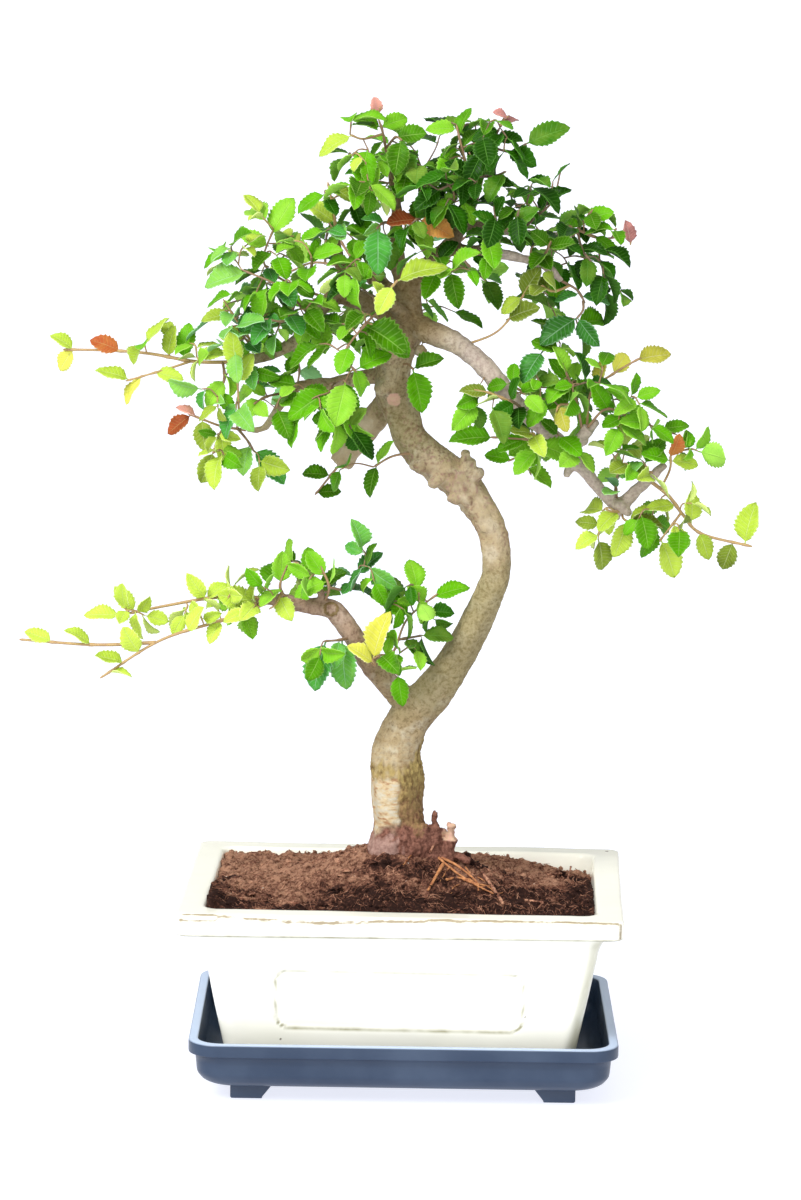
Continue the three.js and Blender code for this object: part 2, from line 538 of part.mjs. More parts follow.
// Height of the soil: a mound round the trunk, crumbs all over and a dip at the back right
function soilHeight(x, y) {
  const mound = soil.mound * Math.exp(-(((x - trunkFoot[0]) / soil.spreadX) ** 2) - (y / soil.spreadY) ** 2);
  const dip = soil.dip * Math.max(0, x / 85) * Math.max(0, y / 60);
  const crumbs = Math.sin(x * 0.61 + 1.3 * Math.sin(y * 0.35)) * Math.sin(y * 0.57 + x * 0.21);
  return soil.level + mound - dip + soil.crumb * crumbs;
}

function makeSoil(hole) {
  const bottom = pot.underside + pot.floor + gap;
  const inside = block(pot.baseWidth, pot.baseDepth, pot.corner, potInside(gap, bottom, pot.top));
  const fill = new THREE.BoxGeometry(pot.lipWidth, pot.lipDepth, 1, soil.cellsX, soil.cellsY, 1);
  fill.translate(...pot.middle, 0);
  reshape(fill, (point) => {
    point.z = point.z > 0 ? soilHeight(point.x, point.y) : bottom - 1;
  });
  const drains = [-1, 1].map((side) => block(mesh.side, mesh.side, 1, [
    [bottom - 1, gap], [bottom + mesh.thickness + gap, gap],
  ], 1).translate([side * pot.drainX, 0, 0]));
  const room = askew(inside.add(mound()).subtract(join(drains)));
  return solid(fill).intersect(room).subtract(hole).simplify(0.01);
}

// Room above the pot for the mound to rise into
function mound() {
  return block(pot.baseWidth, pot.baseDepth, pot.corner, [
    [pot.top - 1, potGrowth(pot.top) - pot.wall - gap - 0.1], [pot.top + 40, -10],
  ]);
}

// Wood: every route is a smooth tapered tube, and the trunk's is uneven
const woodSides = { trunk: 9, low: 6, right: 6 };
const trunkRings = 30;

function unevenBark(angle, ring) {
  return 1 + 0.05 * Math.sin(3 * angle + ring * 0.9) + 0.03 * Math.sin(5 * angle - ring * 1.7);
}

function makeWood(extra) {
  const tubes = Object.entries(wood).map(([name, points]) => {
    const smooth = name === 'trunk' ? trunkRings : points.length - 1;
    const curve = new THREE.CatmullRomCurve3(points.map(vector), false, 'catmullrom', 0.5);
    const route = [];
    const radii = [];
    for (let step = 0; step <= smooth; step += 1) {
      const share = step / smooth;
      const spot = share * (points.length - 1);
      const before = Math.min(Math.floor(spot), points.length - 2);
      route.push(curve.getPoint(share));
      radii.push(THREE.MathUtils.lerp(points[before][3], points[before + 1][3], spot - before) + extra);
    }
    const sides = woodSides[name] ?? (points[0][3] > 4 ? 5 : 4);
    return stem(route, radii, sides, name === 'trunk' ? unevenBark : undefined);
  });
  const lumps = knots.map(([x, y, z, radius]) => {
    const lump = new THREE.IcosahedronGeometry(radius + extra, 0);
    lump.translate(x, y, z);
    return solid(lump);
  });
  return join([...tubes, ...lumps]);
}

function makeRootlets() {
  const tubes = rootlets.map((line) => {
    const lift = rootletRadius + soil.crumb * 0.6;
    const route = line.map(([x, y]) => new THREE.Vector3(x, y, soilHeight(x, y) + lift));
    const radii = route.map((point, index) => rootletRadius * (1 - 0.1 * index));
    return stem(route, radii, 3);
  });
  return join(tubes);
}

// A small repeatable random number generator with 32-bit state
function randomDraws(seed) {
  let state = seed >>> 0;
  return () => {
    state = (state + 0x6d2b79f5) >>> 0;
    let mixed = Math.imul(state ^ (state >>> 15), state | 1);
    mixed ^= mixed + Math.imul(mixed ^ (mixed >>> 7), mixed | 61);
    return ((mixed ^ (mixed >>> 14)) >>> 0) / 4294967296;
  };
}

// Half width of a leaf at a share of its length
function leafHalfWidth(share, width) {
  return share <= 0 || share >= 1 ? 0 : width * Math.sin(Math.PI * share ** 0.82) ** 0.75;
}

// Height of a leaf's surface over its own flat plane
function leafRise(share, across, blade) {
  return leaf.fold * Math.abs(across) - leaf.droop * blade.length * share * share;
}

// A point on a leaf, from a share of its length and a distance across it
function leafPoint(blade, share, across, lift = 0) {
  return blade.base.clone()
    .addScaledVector(blade.along, share * blade.length)
    .addScaledVector(blade.side, across)
    .addScaledVector(blade.up, leafRise(share, across, blade) + lift);
}

function makeBlade(base, along, wanted, length, width) {
  const up = wanted.clone().addScaledVector(along, -wanted.dot(along)).normalize();
  const blade = { base, along, up, side: up.clone().cross(along), length, width: width * length };
  blade.middle = leafPoint(blade, 0.5, 0);
  blade.samples = [];
  for (let row = 1; row <= 10; row += 1) {
    const half = leafHalfWidth(row / 10.2, blade.width);
    for (const across of [-1, -0.5, 0, 0.5, 1]) {
      blade.samples.push(leafPoint(blade, row / 10.2, across * half));
    }
  }
  return blade;
}

// Distance from a point to a straight piece of stem
function stemDistance(point, piece) {
  const along = piece.end.clone().sub(piece.start);
  const share = point.clone().sub(piece.start).dot(along) / along.lengthSq();
  return point.distanceTo(piece.start.clone().addScaledVector(along, Math.min(1, Math.max(0, share))));
}

function pointsCross(samples, other) {
  return samples.some((point) => {
    const offset = point.clone().sub(other.base);
    const share = offset.dot(other.along) / other.length;
    const across = offset.dot(other.side);
    if (share < -0.06 || share > 1.06) return false;
    if (Math.abs(across) > leafHalfWidth(share, other.width) + leaf.clear * 0.7) return false;
    return Math.abs(offset.dot(other.up) - leafRise(share, across, other)) < leaf.clear;
  });
}

// True where a leaf keeps clear of all stems but its own and of all leaves
function isClear(blade, twig, pieces, blades) {
  const reach = blade.length * 0.62;
  for (const piece of pieces) {
    if (piece.twig !== twig && stemDistance(blade.middle, piece) < reach + piece.radius) {
      const limit = piece.radius + leaf.clear * 0.8;
      if (blade.samples.some((point) => stemDistance(point, piece) < limit)) return false;
    }
  }
  for (const other of blades) {
    if (blade.middle.distanceTo(other.middle) < reach + other.length * 0.62) {
      if (pointsCross(blade.samples, other) || pointsCross(other.samples, blade)) return false;
    }
  }
  return true;
}

function stemPieces(route, radii, twig) {
  return route.slice(1).map((end, index) => ({
    start: route[index], end, radius: Math.max(radii[index], radii[index + 1]), twig,
  }));
}

// The place on a twig's route at a share of its length, with the direction there
function alongRoute(route, share) {
  const lengths = route.slice(1).map((end, index) => end.distanceTo(route[index]));
  let left = share * lengths.reduce((sum, length) => sum + length, 0);
  let index = 0;
  while (index < lengths.length - 1 && left > lengths[index]) {
    left -= lengths[index];
    index += 1;
  }
  const tangent = route[index + 1].clone().sub(route[index]).normalize();
  return { place: route[index].clone().addScaledVector(tangent, left), tangent };
}

// A leaf whose tip has a set place: it grows from the nearest part of the twig
function aimedLeaf(twig, tip, draw, attempt) {
  const target = vector(tip);
  for (const axis of ['x', 'y', 'z']) target[axis] += (draw() - 0.5) * 0.6 * attempt;
  let best = null;
  for (let step = 3; step <= 10; step += 1) {
    const spot = alongRoute(twig.route, step * 0.094);
    const distance = spot.place.distanceTo(target);
    const misfit = Math.abs(distance - leaf.usual);
    if (!best || misfit < best.misfit) best = { ...spot, distance, misfit };
  }
  const along = target.sub(best.place).normalize();
  const turn = 0.5 + 0.08 * attempt;
  const wanted = new THREE.Vector3(0, -0.7, 0.7);
  wanted.x += (draw() - 0.5) * turn * 2;
  wanted.y += (draw() - 0.5) * turn;
  wanted.z += (draw() - 0.5) * turn;
  const length = Math.min(leaf.longest, best.distance) * 0.985 ** attempt;
  return makeBlade(best.place, along, wanted, length, leaf.halfWidth * (0.9 + 0.2 * draw()));
}

// A loose leaf: the first at the tip, the others alternate back along the twig
function looseLeaf(twig, index, draw, attempt) {
  const spot = alongRoute(twig.route, 0.94 - 0.58 * index / Math.max(twig.loose, 2));
  const away = twig.route[twig.route.length - 1].clone().sub(twig.route[0]).normalize();
  const outward = Math.min(1, Math.max(-1, spot.place.y / 30));
  const wanted = new THREE.Vector3(draw() - 0.5, draw() - 0.5 + 0.5 * outward, draw() - 0.5 + 0.85);
  wanted.addScaledVector(away, 0.45);
  const side = spot.tangent.clone().cross(wanted).normalize().multiplyScalar(index % 2 ? 1 : -1);
  const angle = (index === 0 ? 0.3 : 0.75) + 0.5 * draw() + 0.04 * attempt;
  const along = spot.tangent.clone().multiplyScalar(Math.cos(angle)).addScaledVector(side, Math.sin(angle));
  along.z -= 0.15 * draw();
  const length = (12 + 6 * draw()) * 0.97 ** attempt;
  return makeBlade(spot.place, along.normalize(), wanted, length, leaf.halfWidth * (0.9 + 0.2 * draw()));
}

// All twigs with their leaves, set leaves first
function growTwigs() {
  const pieces = [];
  for (const points of Object.values(wood)) {
    pieces.push(...stemPieces(points.map(vector), points.map((point) => point[3]), null));
  }
  const twigs = [];
  for (const [node, list] of sprays) {
    for (const [tint, points, loose, tips] of list) {
      const route = points.map(vector);
      const taper = (twigRadius.base - twigRadius.tip) / (route.length - 1);
      const radii = route.map((point, index) => twigRadius.base - taper * index);
      const draw = randomDraws(41 + 97 * twigs.length);
      const twig = { node, tint, route, radii, loose, tips, draw, leaves: [] };
      pieces.push(...stemPieces(route, radii, twig));
      twigs.push(twig);
    }
  }
  const blades = [];
  const settle = (twig, propose) => {
    for (let attempt = 0; attempt < leaf.tries; attempt += 1) {
      const blade = propose(attempt);
      if (isClear(blade, twig, pieces, blades)) {
        twig.leaves.push(blade);
        blades.push(blade);
        return;
      }
    }
  };
  for (const twig of twigs) {
    for (const tip of twig.tips) settle(twig, (attempt) => aimedLeaf(twig, tip, twig.draw, attempt));
  }
  for (const twig of twigs) {
    for (let index = 0; index < twig.loose; index += 1) {
      settle(twig, (attempt) => looseLeaf(twig, index, twig.draw, attempt));
    }
  }
  return twigs;
}

// Toothed outlines on one side, as shares of length and of half width, for large, middling and small leaves
const toothed = {
  large: [[0.1, 0.42], [0.3, 1.03], [0.35, 0.9], [0.55, 1.04], [0.6, 0.84], [0.8, 0.7], [0.84, 0.48]],
  middling: [[0.16, 0.6], [0.44, 1.06], [0.52, 0.86], [0.76, 0.78]],
  small: [[0.2, 0.72], [0.5, 1.08], [0.58, 0.86]],
};

// A closed leaf: two faces that share the toothed edge and part at the rib
function makeLeaf(blade) {
  const size = blade.length > leaf.large ? 'large' : blade.length > leaf.middling ? 'middling' : 'small';
  const edge = toothed[size];
  const rib = size === 'large' ? [0.14, 0.62] : [0.3];
  const points = [leafPoint(blade, -0.02, 0), leafPoint(blade, 1, 0)];
  for (const side of [-1, 1]) {
    for (const [share, half] of edge) points.push(leafPoint(blade, share, side * half * blade.width));
  }
  for (const face of [-1, 1]) {
    for (const share of rib) points.push(leafPoint(blade, share, 0, face * leaf.thickness / 2));
  }
  const faces = [];
  for (const side of [0, 1]) {
    for (const face of [0, 1]) {
      const edgeStart = 2 + side * edge.length;
      const ribStart = 2 + 2 * edge.length + face * rib.length;
      const flip = side !== face;
      const triangle = (a, b, c) => faces.push(...(flip ? [a, b, c] : [a, c, b]));
      triangle(0, edgeStart, ribStart);
      let outer = 0;
      let inner = 0;
      while (outer < edge.length - 1 || inner < rib.length - 1) {
        const outerNext = outer < edge.length - 1 ? edge[outer + 1][0] : 2;
        const innerNext = inner < rib.length - 1 ? rib[inner + 1] : 2;
        if (outerNext < innerNext) {
          triangle(edgeStart + outer, edgeStart + outer + 1, ribStart + inner);
          outer += 1;
        } else {
          triangle(edgeStart + outer, ribStart + inner + 1, ribStart + inner);
          inner += 1;
        }
      }
      triangle(edgeStart + outer, 1, ribStart + inner);
    }
  }
  const geometry = new THREE.BufferGeometry().setFromPoints(points);
  geometry.setIndex(faces);
  return solid(geometry);
}

function addMesh(group, name, whole, colour, roughness = 0.7) {
  const data = whole.getMesh();
  const geometry = new THREE.BufferGeometry();
  geometry.setAttribute('position', new THREE.BufferAttribute(data.vertProperties, 3));
  geometry.setIndex(new THREE.BufferAttribute(data.triVerts, 1));
  geometry.computeVertexNormals();
  const material = new THREE.MeshStandardMaterial({ color: colour, roughness, metalness: 0 });
  const piece = new THREE.Mesh(geometry, material);
  piece.name = name;
  group.add(piece);
}

function makeBonsai() {
  const group = new THREE.Group();
  const woodRoom = makeWood(gap + 0.05);
  addMesh(group, 'drip_tray', makeTray(), '#465877', 0.45);
  addMesh(group, 'pot', makePot(), '#f1ead2', 0.15);
  addMesh(group, 'drain_mesh_left', makeDrainMesh(-1), '#26382b');
  addMesh(group, 'drain_mesh_right', makeDrainMesh(1), '#26382b');
  const earth = makeSoil(woodRoom);
  addMesh(group, 'soil', earth, '#4a2f26', 0.95);
  addMesh(group, 'tree_wood', makeWood(0), '#9c8468', 0.85);
  const roots = makeRootlets().subtract(woodRoom.add(earth.translate([0, 0, gap])));
  addMesh(group, 'surface_roots', largest(roots), '#a5673a', 0.8);
  const twigs = growTwigs();
  for (const [node, list] of sprays) {
    const own = twigs.filter((twig) => twig.node === node);
    const bodies = own.flatMap((twig) => [stem(twig.route, twig.radii, 3), ...twig.leaves.map(makeLeaf)]);
    addMesh(group, node, largest(join(bodies).subtract(woodRoom)), colours[list[0][0]], 0.4);
  }
  return group;
}

// The origin lies under the middle of the whole object, on the floor
const bonsai = makeBonsai();
const middle = new THREE.Box3().setFromObject(bonsai).getCenter(new THREE.Vector3());
bonsai.position.set(-middle.x, -middle.y, 0);

export default bonsai;
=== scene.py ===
"""Chinese elm bonsai in a cream glazed pot that stands in a slate-blue drip tray.

Lengths in the tables are millimetres from the middle of the tray; everything made is in metres.
"""

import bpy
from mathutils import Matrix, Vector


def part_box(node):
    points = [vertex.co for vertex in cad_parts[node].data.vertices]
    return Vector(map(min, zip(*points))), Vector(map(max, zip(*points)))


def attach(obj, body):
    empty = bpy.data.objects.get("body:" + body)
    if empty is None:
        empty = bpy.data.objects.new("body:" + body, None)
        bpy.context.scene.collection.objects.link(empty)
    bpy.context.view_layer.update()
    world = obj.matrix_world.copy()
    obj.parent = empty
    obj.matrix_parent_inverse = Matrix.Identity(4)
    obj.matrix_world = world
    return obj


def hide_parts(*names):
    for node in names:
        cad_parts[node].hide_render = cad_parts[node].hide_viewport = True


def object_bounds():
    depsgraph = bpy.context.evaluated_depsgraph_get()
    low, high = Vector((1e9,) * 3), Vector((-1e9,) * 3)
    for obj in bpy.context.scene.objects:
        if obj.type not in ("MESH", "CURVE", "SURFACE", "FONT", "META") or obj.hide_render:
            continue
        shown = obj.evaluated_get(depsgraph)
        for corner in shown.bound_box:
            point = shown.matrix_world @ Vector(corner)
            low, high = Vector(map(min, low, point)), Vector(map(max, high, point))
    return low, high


bl_info = {
    "name": "Elm Bonsai",
    "version": (1, 0, 0),
    "blender": (4, 5, 0),
    "location": "3D View > Sidebar > Elm Bonsai",
    "description": "Finishes a packed bonsai with bark, toothed leaves, glaze and crumbly soil",
    "category": "Object",
}

import math

import bmesh
import bpy
import numpy as np
from bpy.props import FloatProperty, FloatVectorProperty, IntProperty, PointerProperty
from mathutils import Matrix, Vector, noise

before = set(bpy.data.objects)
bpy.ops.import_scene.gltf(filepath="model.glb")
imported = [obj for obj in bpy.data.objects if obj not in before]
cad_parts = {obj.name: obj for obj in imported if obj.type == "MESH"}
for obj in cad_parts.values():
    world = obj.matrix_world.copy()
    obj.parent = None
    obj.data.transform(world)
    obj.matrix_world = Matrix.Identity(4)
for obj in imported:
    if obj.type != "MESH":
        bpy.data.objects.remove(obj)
cad_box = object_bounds()

MM = 0.001
pot_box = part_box("pot")
POT_MIDDLE = (-0.5, 4.5)
SHIFT = [
    (pot_box[0][axis] + pot_box[1][axis]) / 2 / MM - POT_MIDDLE[axis] for axis in (0, 1)
] + [0.0]


def place(x, y, z):
    """A point of the tables, in millimetres, as a point of the frame, in metres"""
    return Vector(((x + SHIFT[0]) * MM, (y + SHIFT[1]) * MM, (z + SHIFT[2]) * MM))


def linear(code):
    """sRGB hex colour to linear red, green and blue"""
    parts = [int(code[index : index + 2], 16) / 255 for index in (1, 3, 5)]
    return [c / 12.92 if c <= 0.04045 else ((c + 0.055) / 1.055) ** 2.4 for c in parts]


# Wood routes: x, y, z and radius at each point
WOOD = {
    "trunk": [
        [-4, 0, 66, 8.5], [-4, 0, 92, 11], [-4, 0, 107, 14], [-4, 0, 114, 12.6], [-4, 0, 121, 11.8],
        [-5, 0, 130, 11.9], [-5, 1, 143, 12.4], [-5, 2, 153, 11.5], [-1, 3, 165, 10.3],
        [4, 4, 174, 9.9], [12, 4, 183, 9.2], [19, 3, 194, 8.3], [25, 1, 204, 7.7],
        [31, -1, 216, 7.4], [36, -3, 227, 7], [40, -4, 239, 6.7], [40, -4, 251, 6.8],
        [37, -3, 262, 6.9], [31, -1, 272, 7.4], [24, 0, 281, 8.2], [15, 1, 289, 8.6],
        [6, 2, 296, 8.4], [-1, 3, 304, 8], [-5, 3, 314, 8.3], [-9, 3, 323, 8.7], [-10, 3, 332, 8.3],
        [-8, 3, 343, 8], [-4, 3, 353, 8.4], [-3, 3, 365, 7], [-3, 3, 374, 5.2],
    ],
    "low": [
        [3, 3, 175, 6.5], [-6, -1, 183, 6.2], [-13, -5, 191, 5.3], [-20, -8, 200, 5.2],
        [-26, -9, 210, 5], [-31, -9, 217, 4.8], [-37, -8, 223, 4.6], [-47, -6, 224, 4.1],
        [-56, -4, 225, 3.9], [-66, -2, 226, 2.5], [-75, 0, 224, 1.8],
    ],
    "right": [
        [-3, 1, 357, 6.6], [10, -7, 353, 5.4], [22, -13, 348, 4.9], [33, -17, 339, 4.6],
        [42, -19, 329, 4.4], [50, -17, 320, 3.9], [57, -14, 313, 3.6], [66, -11, 306, 3.5],
        [74, -9, 296, 4], [80, -8, 291, 3], [88, -6, 281, 2.7], [97, -5, 274, 3.6],
        [105, -6, 281, 2.8], [112, -8, 288, 2.4], [118, -9, 294, 1.7],
    ],
    "right_stub": [[73, -9, 297, 3.2], [77, -12, 304, 2.9], [82, -14, 311, 3.3]],
    "right_spur": [[74, -9, 296, 3], [72, -10, 287, 1.6]],
    "left": [
        [-4, 3, 359, 6], [-16, 5, 363, 4.9], [-27, 3, 368, 4.6], [-37, -1, 369, 4],
        [-45, -4, 362, 3.3], [-53, -4, 350, 3], [-69, -3, 341, 2.5], [-85, -3, 338, 2.2],
    ],
    "upper_left": [
        [-29, 3, 368, 3.9], [-33, 0, 379, 3.3], [-36, -3, 389, 2.5], [-37, -5, 397, 1.7],
    ],
    "left_low": [
        [-10, 3, 334, 4.2], [-25, 9, 330, 3.6], [-39, 9, 327, 3.2], [-51, 5, 327, 2.7],
        [-58, 1, 324, 2.2], [-64, -1, 315, 1.9], [-70, -1, 307, 1.6], [-78, -1, 306, 1.3],
    ],
    "rear_stub": [[-9, 8, 325, 5.5], [-18, 20, 310, 6], [-27, 27, 298, 6.3], [-34, 30, 287, 5.6]],
    "apex_right": [
        [-3, 3, 371, 5.2], [6, -1, 384, 4.4], [15, -4, 393, 3.8], [21, -4, 403, 3.1],
        [26, -3, 414, 2.6], [29, -1, 425, 2], [29, 0, 435, 1.3],
    ],
    "apex_left": [
        [-4, 4, 371, 4.6], [-8, 5, 384, 3.8], [-9, 5, 398, 3.1], [-9, 3, 411, 2.5],
        [-11, 1, 424, 2], [-14, 0, 436, 1.3],
    ],
    "shelf": [
        [14, -4, 392, 3], [29, -9, 392, 2.8], [46, -12, 390, 2.4], [60, -13, 386, 2],
        [68, -12, 379, 1.4],
    ],
    "shelf_high": [[21, -3, 403, 2.8], [36, 3, 402, 2.5], [54, 4, 399, 2.1], [73, 1, 399, 1.4]],
    "rear_right": [[-2, 6, 369, 4.2], [2, 24, 375, 3.5], [10, 42, 382, 2.6], [18, 58, 389, 1.6]],
    "rear_left": [[-6, 8, 367, 4.2], [-14, 24, 372, 3.5], [-26, 42, 377, 2.6], [-37, 56, 379, 1.6]],
    "front": [[-5, -4, 360, 4], [-10, -20, 367, 3], [-18, -34, 371, 1.8]],
    "bend_stub": [[22, 0, 284, 4.6], [29, -3, 292, 4.2], [30, -4, 298, 3]],
}

# Knots on the wood: x, y, z and radius
KNOTS = [
    [-14, -3, 327, 4.6], [3, -5, 291, 4.2], [12, -6, 284, 3.4], [35, -8, 262, 3], [5, 12, 176, 4],
]

# Rootlets of the solids, as routes of x and y
ROOTLETS = [
    [[14, -11], [22, -20], [31, -27], [41, -35]], [[14, -11], [24, -14], [33, -24], [34, -34]],
    [[19, -30], [25, -24], [31, -27], [40, -26]],
]

